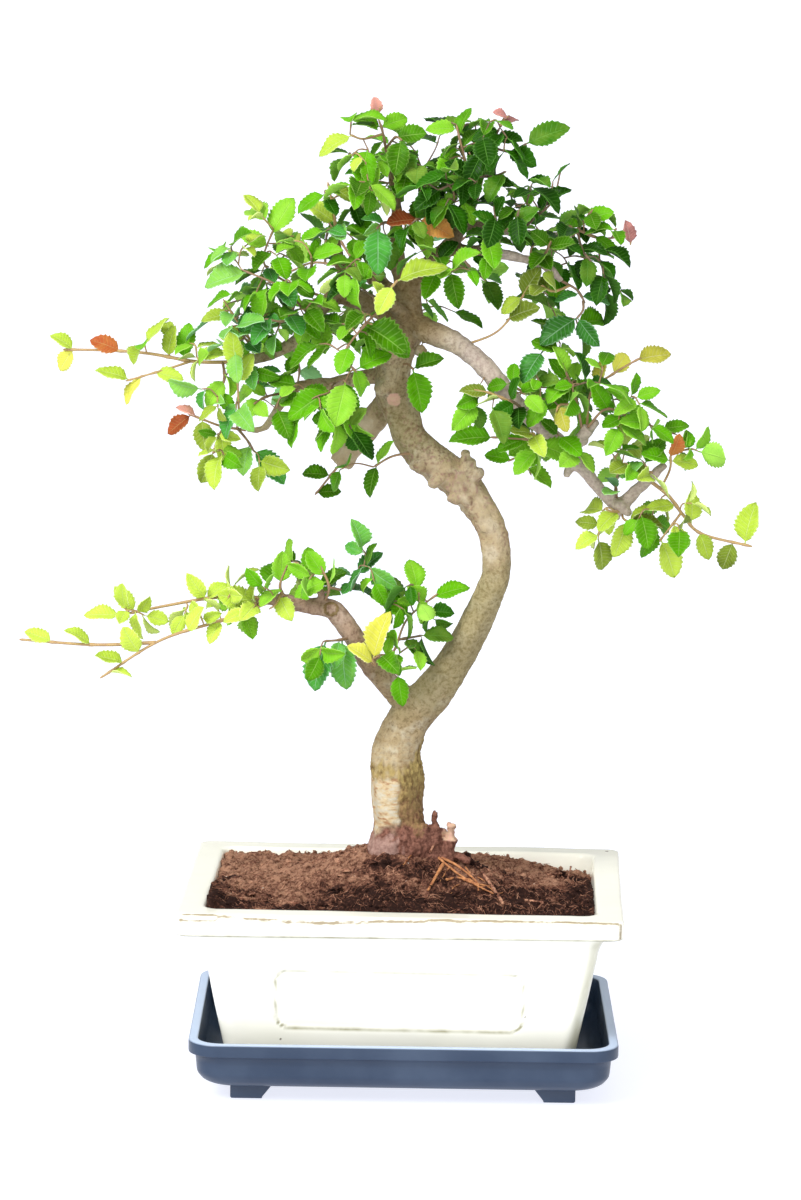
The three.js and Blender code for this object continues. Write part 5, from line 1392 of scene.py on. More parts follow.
class BonsaiLeaves(bpy.types.PropertyGroup):
    thickness: length_property("Leaf thickness", "Thickness of a leaf", 0.32)
    green: colour_property("Green", "Full-grown leaves", "#5DA806")
    deep: colour_property("Deep green", "Shaded leaves of the crown", "#2A6602")
    teal: colour_property("Blue-green", "Waxy leaves", "#4C9E38")
    lime: colour_property("Lime", "Young leaves", "#A4C03A")
    gold: colour_property("Gold", "Yellowing leaves", "#C3C145")
    bronze: colour_property("Bronze", "Newly opened leaves", "#A8522A")
    pink: colour_property("Pink", "Buds", "#DE958C")


class BonsaiStage(bpy.types.PropertyGroup):
    floor: colour_property("Floor", "Plain pale floor", "#989AA0")
    lens: FloatProperty(
        name="Lens", description="Focal length of the camera in millimetres", default=140.76
    )
    distance: FloatProperty(
        name="Distance", description="From the camera to the pot", default=2.1809, unit="LENGTH"
    )
    height: FloatProperty(
        name="Height", description="Camera above the floor", default=0.57, unit="LENGTH"
    )


class BonsaiSettings(bpy.types.PropertyGroup):
    pot: PointerProperty(type=BonsaiPot)
    tray: PointerProperty(type=BonsaiTray)
    soil: PointerProperty(type=BonsaiSoil)
    wood: PointerProperty(type=BonsaiWood)
    leaves: PointerProperty(type=BonsaiLeaves)
    stage: PointerProperty(type=BonsaiStage)


# Pieces


# Sizes of the tray and the pot, the same as in the solids
TRAY = {
    "half_x": 99.9, "half_y": 77.25, "back": 3, "corner": 14, "top": 28.8, "band_foot": 22.8,
    "band_width": 4.4, "wall": 1.8, "underside": 7, "flare": 10.9,
    "foot_outer": 80.4, "foot_low": 65.5, "foot_inner": 60, "foot_y": 57, "foot_depth": 11,
}
POT = {
    "lip_x": 103.3, "lip_y": 82.5, "lip_corner": 5, "top": 91.1, "lip_foot": 81.8,
    "base_x": 81, "base_y": 59, "corner": 8, "underside": 15.1, "lean": 12.9, "cove": 2.4,
    "wall": 5, "floor": 6, "foot_height": 6, "foot_x": 13, "foot_y": 9, "turn": -1.6,
    "drain_x": 38, "drain_radius": 7, "lip_hang": 2.0,
    "panel_x": 57.5, "panel_y": 35.5, "panel_height": 28.6, "panel_middle": 47.7, "panel_corner": 6,
}


def block_piece(name, layers, counts=(1, 1, 3), **shape):
    """A small rounded block that is fused or cut"""
    bm = bmesh.new()
    layered(bm, layers, counts, **shape)
    return object_of(finished_shape(bm, name), name)


def shifted(piece, x, y):
    piece.data.transform(Matrix.Translation((x * MM, y * MM, 0)))
    return piece


class BONSAI_OT_tray(bpy.types.Operator):
    """Drip tray with its rolled rim and four feet"""

    bl_idname = "bonsai.tray"
    bl_label = "Drip tray"

    def execute(self, context):
        t, settings = TRAY, context.scene.bonsai.tray
        foot, top, wall = t["band_foot"], t["top"], t["wall"]
        # How far the side has grown outwards, and the height there
        outside = [
            (-t["flare"] - 6, t["underside"]), (-t["flare"] + 1.2, t["underside"], 2.0),
            (-6.3, 9.4, 1.5), (-3.9, 13, 1.5), (-3, foot), (0, foot, 0.7), (0, top, 1.0),
            (-t["band_width"], top, 0.9), (-3 - wall, foot + wall, 1.2),
            (-3.9 - wall, 13 + wall, 1.5), (-6.3 - wall, 9.4 + wall, 1.5),
            (-t["flare"] + 1.2 - wall, t["underside"] + wall, 2.0),
            (-t["flare"] - 8, t["underside"] + wall),
        ]
        layers = [
            (t["half_x"] + grown, t["half_y"] + grown, t["corner"] + max(grown, -4) * 0.5, height)
            for grown, height in denser(rounded_profile(outside), 6)
        ]
        bm = bmesh.new()
        layered(bm, layers, (16, 12, 8), lambda x, y, z, step: (x, y + t["back"], z))
        plastic = moulded_plastic("moulded_polypropylene", settings.plastic, settings.dust_and_highlight)
        piece = piece_from(bm, "tray_moulding", plastic)
        feet = []
        deep = t["foot_depth"] / 2
        # Each foot is upright outside and slants inside, and its lower edge is softened
        soft = 0.4
        spans = (
            (t["foot_low"], t["foot_outer"] - soft), (t["foot_low"], t["foot_outer"]),
            (t["foot_inner"], t["foot_outer"]),
        )
        heights, depths = (0, 0.6, t["underside"] + 0.6), (deep - soft, deep, deep)
        for side in (-1, 1):
            for y in (t["back"] - t["foot_y"], t["back"] + t["foot_y"]):
                foot_layers = [
                    ((outer - inner) / 2, thick, 0.8, height)
                    for (inner, outer), thick, height in zip(spans, depths, heights)
                ]
                block = block_piece(
                    f"foot_{side}_{y}", foot_layers, rule=lambda x, across, z, step: (
                        x + side * sum(spans[step]) / 2, across + y, z
                    ),
                )
                feet.append(block)
        combine(piece, feet, "UNION")
        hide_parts("drip_tray")
        return {"FINISHED"}


def askew(points):
    """Points of the pot turned and moved to the way it stands in its tray"""
    angle = math.radians(POT["turn"])
    x, y, z = np.asarray(points, float).T
    cosine, sine = math.cos(angle), math.sin(angle)
    across, deep = POT_MIDDLE
    return np.stack([across + x * cosine - y * sine, deep + x * sine + y * cosine, z], axis=1)


def pot_growth(height):
    share = (height - POT["underside"]) / (POT["lip_foot"] - POT["underside"])
    return POT["lean"] * share


def panel_distance(x, y, height):
    """Distance outside the edge of the nearest panel, along the wall, in millimetres"""
    p = POT
    on_long_side = abs(y) / p["base_y"] > abs(x) / p["base_x"]
    across, half = (x, p["panel_x"]) if on_long_side else (y, p["panel_y"])
    corner = p["panel_corner"]
    dx = abs(across) - half + corner
    dz = abs(height - p["panel_middle"]) - p["panel_height"] / 2 + corner
    return math.hypot(max(dx, 0), max(dz, 0)) + min(max(dx, dz), 0) - corner


class BONSAI_OT_pot(bpy.types.Operator):
    """Glazed pot with its lip, sunken panels, feet and drain holes"""

    bl_idname = "bonsai.pot"
    bl_label = "Glazed pot"

    # Iron specks on the front: x and height
    SPECKS = ((58.5, 41.4), (-52.7, 62.2), (-55.0, 27.4))

    def execute(self, context):
        p, settings = POT, context.scene.bonsai.pot
        edge = settings.lip_edge / MM
        out_x = p["lip_x"] - p["base_x"]
        out_y = p["lip_y"] - p["base_y"]
        cove = pot_growth(p["lip_foot"]) + p["cove"]
        top_inside = pot_growth(p["top"]) - p["wall"]
        floor = p["underside"] + p["floor"]
        profile = [
            (-8, p["underside"]), (0, p["underside"], 1.6),
            (pot_growth(p["lip_foot"] - 7), p["lip_foot"] - 7, 2.5), (cove, p["lip_foot"], 1.2),
            (out_x, p["lip_foot"], edge), (out_x, p["top"], edge), (top_inside, p["top"], 1.8),
            (pot_growth(floor) - p["wall"], floor, 3), (-16, floor),
        ]
        points = denser(rounded_profile(profile), 1.4)
        layers = []
        for grown, height in points:
            share = min(1, max(0, (grown - cove) / (out_x - cove)))
            outer = height > p["lip_foot"] - 0.01 and grown >= cove - 0.01
            more = share * (out_y - out_x) if outer else 0
            corner = p["corner"] + (p["lip_corner"] - p["corner"]) * share if outer else p["corner"]
            layers.append((p["base_x"] + grown, p["base_y"] + grown + more, corner, height))
        wall_steps = {
            step for step, (grown, height) in enumerate(points)
            if abs(grown - pot_growth(height)) < 0.6 and height < p["lip_foot"] - 4
        }
        depth, wander = settings.panel_depth / MM, settings.unevenness / MM

        def rule(x, y, z, step):
            drift = noise.noise((x * 0.03, y * 0.03, z * 0.04)) - 0.5
            ripple = noise.noise((x * 0.11 + 9, y * 0.11, z * 0.1)) - 0.5
            inward = -wander * (0.7 * drift + 0.3 * ripple)
            if step in wall_steps:
                outside = panel_distance(x, y, z)
                inward += depth * min(1, max(0, 0.5 - outside / 1.8))
            half_x, half_y = layers[step][0], layers[step][1]
            x -= math.copysign(inward, x) * (abs(x) > half_x - 9)
            y -= math.copysign(inward, y) * (abs(y) > half_y - 9)
            dip = wander * (noise.noise((x * 0.025 + 3, y * 0.025, 5)) - 0.6)
            hang = self.hang(x) * max(0, 1 - abs(z - p["lip_foot"]) / 7)
            z += min(0, dip) if z > p["lip_foot"] + 5 else 0
            return x, y, z - hang

        bm = bmesh.new()
        layered(bm, layers, (104, 70, 10), rule)
        piece = piece_from(bm, "pot_glazed", glazed_stoneware(settings))
        foot_x, foot_y = p["base_x"] - p["foot_x"] - 4, p["base_y"] - p["foot_y"] - 4
        feet, drains = [], []
        bottom = p["underside"] - p["foot_height"]
        for side in (-1, 1):
            for y in (-1, 1):
                foot_layers = [
                    (p["foot_x"] - 1.6, p["foot_y"] - 1.6, 4, bottom),
                    (p["foot_x"] - 0.8, p["foot_y"] - 0.8, 4, bottom + 0.8),
                    (p["foot_x"], p["foot_y"], 4, p["underside"] + 1),
                ]
                block = block_piece(f"pot_foot_{side}_{y}", foot_layers)
                feet.append(shifted(block, side * foot_x, y * foot_y))
            radius = p["drain_radius"]
            ring = [(radius, radius, radius - 0.01, z) for z in (10, floor + 4)]
            drain = block_piece(f"drain_{side}", ring, (1, 1, 8))
            drains.append(shifted(drain, side * p["drain_x"], 0))
        combine(piece, feet, "UNION")
        combine(piece, drains, "DIFFERENCE")
        self.mark(piece, p, edge)
        move_to(piece.data, askew(coordinates(piece.data)))
        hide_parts("pot")
        return {"FINISHED"}

    def hang(self, x):
        """How far the lip's lower edge hangs down: more at the left"""
        return POT["lip_hang"] * (0.5 - 0.5 * x / POT["lip_x"])

    def mark(self, piece, p, edge):
        """Marks where the clay shows, where glaze pools and where painted shade lines the lip and
        lower panel edges, the painted shade of the right front corner, and the iron specks
        """
        marks = {"rim": [], "pool": [], "stain": [], "speck": []}
        for x, y, z in coordinates(piece.data):
            front = -y - p["lip_y"]
            marks["rim"].append(self.bare(x, z, front, edge) if y < 0 else 0)
            marks["pool"].append(self.pooled_and_shaded(x, y, z, front))
            # The painted corner shade is by the right front corner, below the lip and above the
            # foot
            grown = pot_growth(z)
            side = p["base_x"] + grown - x + 0.5 * (p["base_y"] + grown + y)
            down = min(1, (p["lip_foot"] - z) / 6) * (z > p["underside"] + 6)
            marks["stain"].append(1.7 * max(0, 1 - abs(side - 1.5) / 4.5) * max(0, down))
            dots = [1 - math.hypot(x - across, z - up) / 1.7 for across, up in self.SPECKS]
            marks["speck"].append(max(0, *dots) * (y < -p["base_y"] + 1))
        for name, values in marks.items():
            set_attribute(piece.data, name, values)

    def bare(self, x, z, front, edge):
        """A thin wavy line along the front top edge, and the worn right end of the lip"""
        top = POT["top"]
        wavy = 2.2 * math.exp(-(((x + 37) / 42) ** 2)) + 0.5 * noise.noise((x * 0.12, 0, 1.5))
        wavy += 0.35 * noise.noise((x * 0.4, 0, 4.5))
        # The line doubles at its left end
        lines = [-0.4, wavy + 2.0] if x < -84 else [wavy]
        # Where it dips it lies on the flat front, not on the rounded edge
        across = max(0, abs(front + edge * 0.5) - edge * 0.5 * min(1, max(0, wavy - 0.8)))
        near = min(math.hypot(across, z - top + edge * 0.45 + line) for line in lines)
        value = 1.3 * max(0, 1 - near / 1.2)
        end = abs(x - POT["lip_x"] + 1) / 3.2 + 0.4 * max(0, abs(z - top + 4.6) - 3.5)
        return max(value, 0.95 * max(0, 1 - end)) if front > -2 else value

    def pooled_and_shaded(self, x, y, z, front):
        """Thick glaze round the panels, most of it low down, and under the lip's edge: partly
        pooled glaze and partly painted shade under the lip and along the lower panel edges
        """
        foot = POT["lip_foot"]
        if front > -2 or abs(x) > POT["lip_x"] - 2:
            return 0.85 * max(0, 1 - abs(z - foot + self.hang(x) - 0.5) / 1.3)
        if z >= foot - 3:
            return 0
        lower = min(1, max(0.6, (POT["panel_middle"] - 4 - z) / 7))
        return max(0, 1 - abs(panel_distance(x, y, z)) / 1.1) * lower * 1.3


class BONSAI_OT_meshes(bpy.types.Operator):
    """Plastic of the two drain meshes, whose shape is the solids' own"""

    bl_idname = "bonsai.meshes"
    bl_label = "Drain meshes"

    def execute(self, context):
        settings = context.scene.bonsai.tray
        plastic = moulded_plastic("moulded_mesh", settings.mesh_plastic, settings.dust_and_highlight)
        for node in ("drain_mesh_left", "drain_mesh_right"):
            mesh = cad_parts[node].data
            mesh.materials.clear()
            mesh.materials.append(plastic)
        return {"FINISHED"}


def pot_inside(height):
    """Half sizes of the pot's inside at a height"""
    grown = pot_growth(height) - POT["wall"]
    return POT["base_x"] + grown, POT["base_y"] + grown


def into_corner(x, y, half_x, half_y, corner):
    """Moves a point of a rectangle's corner onto the rounded corner"""
    over_x, over_y = abs(x) - half_x + corner, abs(y) - half_y + corner
    if over_x <= 0 or over_y <= 0:
        return x, y
    reach = max(over_x, over_y)
    scale = reach / math.hypot(over_x, over_y)
    x = math.copysign(half_x - corner + over_x * scale, x)
    return x, math.copysign(half_y - corner + over_y * scale, y)


def mark_damp(piece):
    """Marks where the peat is darker: towards the front, towards the right and by the left and
    right walls, and damp at the listed wet places
    """
    values = []
    for x, y, _ in coordinates(piece.data):
        front = (-y - 18) / 26 + x / 85 + 1.2 * noise.noise((x * 0.05, y * 0.07, 6.0))
        front += max(0, (abs(x) - 66) / 20)
        wet = max(
            3.2 * (1 - math.hypot(x - across, y - deep) / reach) for across, deep, reach in WET
        )
        values.append(min(1, max(-0.6, front)) + max(0, min(1.6, wet)))
    set_attribute(piece.data, "damp", values)


def crumbly_height(x, y):
    """The soil's surface with crumbs of several sizes"""
    height = soil_height(x, y)
    spot = (x * 0.16, y * 0.16, 3.1)
    height += 1.5 * noise.noise(spot)
    # Fuller against the wall at the left front and at the right back
    height += 6 * math.exp(-(((x + 95) / 11) ** 2)) * min(1, max(0, (6 - y) / 30))
    height += 4.5 * math.exp(-(((y - 66) / 15) ** 2) - ((x - 44) / 26) ** 2)
    height += 1.3 * noise.noise((x * 0.42, y * 0.42, 7.7))
    cell = noise.cell_vector((x * 0.3, y * 0.3, 1.0))
    height += 0.5 * (cell[0] - 0.5)
    ridge = abs(noise.noise((x * 0.8, y * 0.8, 2.2)))
    return height + 1.1 * (0.35 - ridge) + 0.35 * noise.noise((x * 2.1, y * 2.1, 4.0))


# Larger pieces on the soil: x, y and radius; sticks by x, y and lift, and their radius
CHIPS = [
    (-28, -22, 2.6), (22, -38, 3.4), (27, -33, 2.4), (-72, -30, 3.0), (-56, -52, 2.8),
    (62, -20, 2.6), (-81, 2, 3.6), (70, 30, 3.0),
]
LUMPS_OF_PEAT = [
    (28, 7, 3.0), (33, 4, 3.4), (37, 1, 2.6), (31, 0, 2.4), (74, 40, 3.4), (-83, 8, 2.4),
]
WHITE_CHIPS = [(79, 47, 2.0), (-30, 20, 0.7)]
# Dark wet places: x, y and reach
WET = [(32, 4, 10), (-84, 6, 9), (80, 36, 12), (-80, -44, 9)]
STICKS = [
    ([(36, -14, 1.2), (41, -28, 1.5), (45.5, -43, 0.8)], 0.85),
    ([(56, -34, 0.4), (66, -42, 0.6)], 0.6), ([(32, 4, 0.8), (37, 0, 1.2), (42, -4, 0.6)], 0.55),
    ([(-62, -40, 0.3), (-50, -48, 0.5)], 0.5), ([(-84, -22, 0.5), (-76, -34, 0.9)], 0.6),
    ([(11, -13, 1.0), (13, -14, 7.5)], 0.5), ([(68, 26, 0.6), (76, 40, 2.4)], 0.6),
    ([(78, 30, 0.8), (80, 46, 3.2)], 0.45),
]


class BONSAI_OT_soil(bpy.types.Operator):
    """Crumbly peat with loose crumbs, chips, fibres and white grit"""

    bl_idname = "bonsai.soil"
    bl_label = "Soil"

    def execute(self, context):
        settings = context.scene.bonsai.soil
        half_x, half_y = (half - 0.4 for half in pot_inside(SOIL["level"] + 2))
        bm = bmesh.new()
        cells = {"x_segments": 176, "y_segments": 128}
        for vertex in bmesh.ops.create_grid(bm, size=1.0, **cells)["verts"]:
            x, y = vertex.co.x * half_x, vertex.co.y * half_y
            x, y = into_corner(x, y, half_x, half_y, POT["corner"])
            near_wall = min(half_x - abs(x), half_y - abs(y))
            spot = askew([(x, y, 0)])[0]
            height = crumbly_height(spot[0], spot[1]) - 1.2 * max(0, 1 - near_wall / 3)
            vertex.co = place(x, y, height)
        # The skirt follows the pot's wall down to its floor
        rim = [edge for edge in bm.edges if edge.is_boundary]
        for depth in (-6, -20, -66):
            skirt = bmesh.ops.extrude_edge_only(bm, edges=rim)["geom"]
            rim = [e for e in skirt if isinstance(e, bmesh.types.BMEdge) and e.is_boundary]
            height = SOIL["level"] + depth
            wide, deep = (half - 0.5 for half in pot_inside(height))
            for vertex in {v for edge in rim for v in edge.verts}:
                x, y = (vertex.co.x / MM - SHIFT[0]), (vertex.co.y / MM - SHIFT[1])
                if abs(x) > half_x - 0.01:
                    x *= wide / max(abs(x) / half_x, 1e-6) / half_x
                if abs(y) > half_y - 0.01:
                    y *= deep / max(abs(y) / half_y, 1e-6) / half_y
                vertex.co = place(max(-wide, min(wide, x)), max(-deep, min(deep, y)), height)
        bmesh.ops.holes_fill(bm, edges=rim, sides=0)
        piece = piece_from(bm, "soil_peat", damp_peat("damp_peat", settings))
        move_to(piece.data, askew(coordinates(piece.data)))
        mark_damp(piece)
        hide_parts("soil")
        self.crumbs(settings, half_x, half_y)
        self.fibres(settings, half_x, half_y)
        return {"FINISHED"}

    def crumbs(self, settings, half_x, half_y):
        """Loose crumbs, chips of bark and white grit, each kind with its own flatness"""
        draw = random_draws(SEEDS["crumbs"])
        bm = bmesh.new()
        bmesh.ops.create_icosphere(bm, subdivisions=1, radius=1)
        lump = finished_shape(bm, "lump")
        corners = vertices_of(lump)
        dry, chip = damp_peat("dry_crumb", settings, 0.9), damp_peat("bark_chip", settings, 1.3)
        # Name, material, number, smallest and largest radius, flatness and the listed ones
        kinds = (
            ("soil_crumbs", dry, settings.crumbs, (0.45, 1.6), 0.8, LUMPS_OF_PEAT),
            ("soil_chips", chip, 60, (1.2, 3.2), 0.35, CHIPS),
            ("soil_grit", self.grit(settings), 46, (0.22, 0.5), 0.6, WHITE_CHIPS),
        )
        for name, material, count, (least, most), flat, placed in kinds:
            spots = list(placed)
            for _ in range(count):
                flat_spot = [(draw() * 2 - 1) * (half - 2) for half in (half_x, half_y)]
                x, y, _ = askew([(*flat_spot, 0)])[0]
                if math.hypot(x - TRUNK_FOOT_X, y) > 12:
                    spots.append((x, y, least + (most - least) * draw() ** 2.2))
            found = []
            for x, y, size in spots:
                turn = Matrix.Rotation(draw() * 6.28, 3, "Z")
                turn = turn @ Matrix.Rotation(draw() - 0.5, 3, "X")
                shape = np.array(turn @ Matrix.Diagonal((1.0, 0.6 + 0.4 * draw(), flat)))
                dents = np.array([draw() - 0.5 for _ in range(corners.size)])
                dents = dents.reshape(-1, 3) * 0.4
                centre = np.array([x, y, crumbly_height(x, y) + size * 0.25])
                found.append(centre + size * (corners @ shape.T + dents))
            piece = piece_from(repeated([lump] * len(spots)), name, material, False)
            move_to(piece.data, np.vstack(found))
            mark_damp(piece)
        bpy.data.meshes.remove(lump)

    def grit(self, settings):
        """White perlite: matt and chalky, stained brown by the peat"""
        material, tree, shader = new_material("white_grit")
        spot = add(tree, "TexCoord").outputs["Object"]
        stain = add(tree, "TexNoise", {"Vector": spot, "Scale": 400.0})
        colour = add(tree, "ValToRGB", {0: stain}, [(0.3, settings.light), (0.55, settings.grit)])
        connect(tree, shader, Base_Color=colour, Roughness=0.7)
        return material

    def fibres(self, settings, half_x, half_y):
        """Short peat fibres all over, and the sticks that lie on the surface"""
        draw = random_draws(SEEDS["fibres"])
        found = []
        taper = (1, 1, 0.9, 0.7, 0.4)
        for _ in range(settings.fibres):
            x = (draw() * 2 - 1) * (half_x - 6)
            y = (draw() * 2 - 1) * (half_y - 6)
            if math.hypot(x - TRUNK_FOOT_X, y) < 15:
                continue
            heading = draw() * 2 * math.pi
            reach = 1.0 + 1.8 * draw()
            radius = 0.11 + 0.15 * draw() ** 2
            route = []
            for _ in taper:
                across, deep, _ = askew([(x, y, 0)])[0]
                height = crumbly_height(across, deep) + radius + 0.5 * draw()
                route.append(np.array([across, deep, height]))
                heading += (draw() - 0.5) * 0.9
                x = max(-half_x + 1, min(half_x - 1, x + reach * math.cos(heading)))
                y = max(-half_y + 1, min(half_y - 1, y + reach * math.sin(heading)))
            found.append(single_tube(route, [radius * share for share in taper], 3))
        for line, radius in STICKS:
            points = [(x, y, crumbly_height(x, y) + lift, radius) for x, y, lift in line]
            route = smooth_route(points, 2.0)
            radii = [radius * (0.8 + 0.4 * draw()) for _ in route]
            found.append(single_tube([point[:3] for point in route], radii, 6))
        peat = damp_peat("peat_fibre", settings, 1.7)
        piece_from(heap(found), "soil_fibres", peat)


def ramp(value, start, end):
    """Nought before the start, one after the end, and straight between them"""
    return min(1.0, max(0.0, (value - start) / (end - start)))


# Healed cuts: middle, radius, and whether only the ring shows
CUTS = (
    ((-9.7, -5, 346), 4.2, False), ((-36.9, -13, 224), 3.0, True), ((86, -12, 296), 2.6, False),
    ((-9, -6, 322), 3.2, False), ((20.5, -9, 117), 4.2, False),
)
# A stub that has two finer lobes
FINER = {
    "bend_stub": [[19, 0, 279, 4.8], [24, -3, 288, 3.8], [25, -4, 295, 2.6]],
}
# Short broken ends too fine for the solids: at the root crown, the bend and the right branch
STUBS = [
    [[9, -9, 103, 4], [13, -9, 112, 3], [15, -9, 120, 1.7]],
    [[15, -6, 101, 4], [20, -8, 111, 2.8], [21, -9, 121, 1.9]],
    [[5, -10, 104, 4], [8, -11, 113, 2.6], [8, -12, 122, 1.6]],
    [[11, -3, 104, 4], [13, -4, 114, 2.6], [13, -6, 127, 0.9]],
    [[-3, -10, 104, 5], [-2, -12, 113, 3.4], [-2, -12, 120, 2]],
    [[-12, -7, 102, 6], [-12, -8, 112, 4.6], [-11, -8, 120, 2.6]],
    [[17, -4, 100, 3], [24, -8, 106, 2], [30, -12, 104, 1.4]],
    [[24, -1, 283, 4], [29, -3, 286, 3.4], [31, -4, 289, 2.6]],
    [[97, -7, 276, 2.4], [96, -9, 267, 1.2]], [[101, -6, 278, 2.4], [107, -9, 286, 1.2]],
    [[66, -11, 306, 2.8], [68, -13, 296, 1.5]], [[80, -10, 308, 2.6], [86, -13, 314, 1.6]],
    [[-41, -7, 224, 2.6], [-42, -9, 232, 1.4]], [[-8, 3, 334, 5], [-14, -3, 328, 3]],
]
# Smaller lumps of the bark than the solids have: x, y, z and radius
LUMPS = [
    [25, -5, 297, 2.4], [31, -5, 288, 3.2], [28, -5, 293, 2.0], [20, -5, 276, 3.2],
    [10, -6, 283, 3.0], [3, -6, 345, 3.2], [13, -9, 106, 4.6], [19, -8, 105, 3.8],
    [9, -9, 115, 3.4], [-9, -11, 105, 4.4], [2, -11, 106, 4.4], [38, -8, 252, 2.6],
    [9, -5, 111, 8.8], [14, -5, 108, 6.6], [3, -8, 110, 8.4], [-6, -7, 109, 9.0],
    [-11, -5, 108, 7.4], [16, -6, 114, 4.0], [6, -10, 117, 4.2], [-1, -12, 115, 4.4],
    [12, -8, 117, 3.6], [-40, -10, 223, 3.4], [34, -19, 339, 3.0], [57, -16, 314, 2.8],
    [97, -8, 274, 3.4], [93, -7, 279, 2.6], [101, -8, 271, 2.4], [73, -11, 299, 3.2],
    [79, -12, 305, 3.0],
]


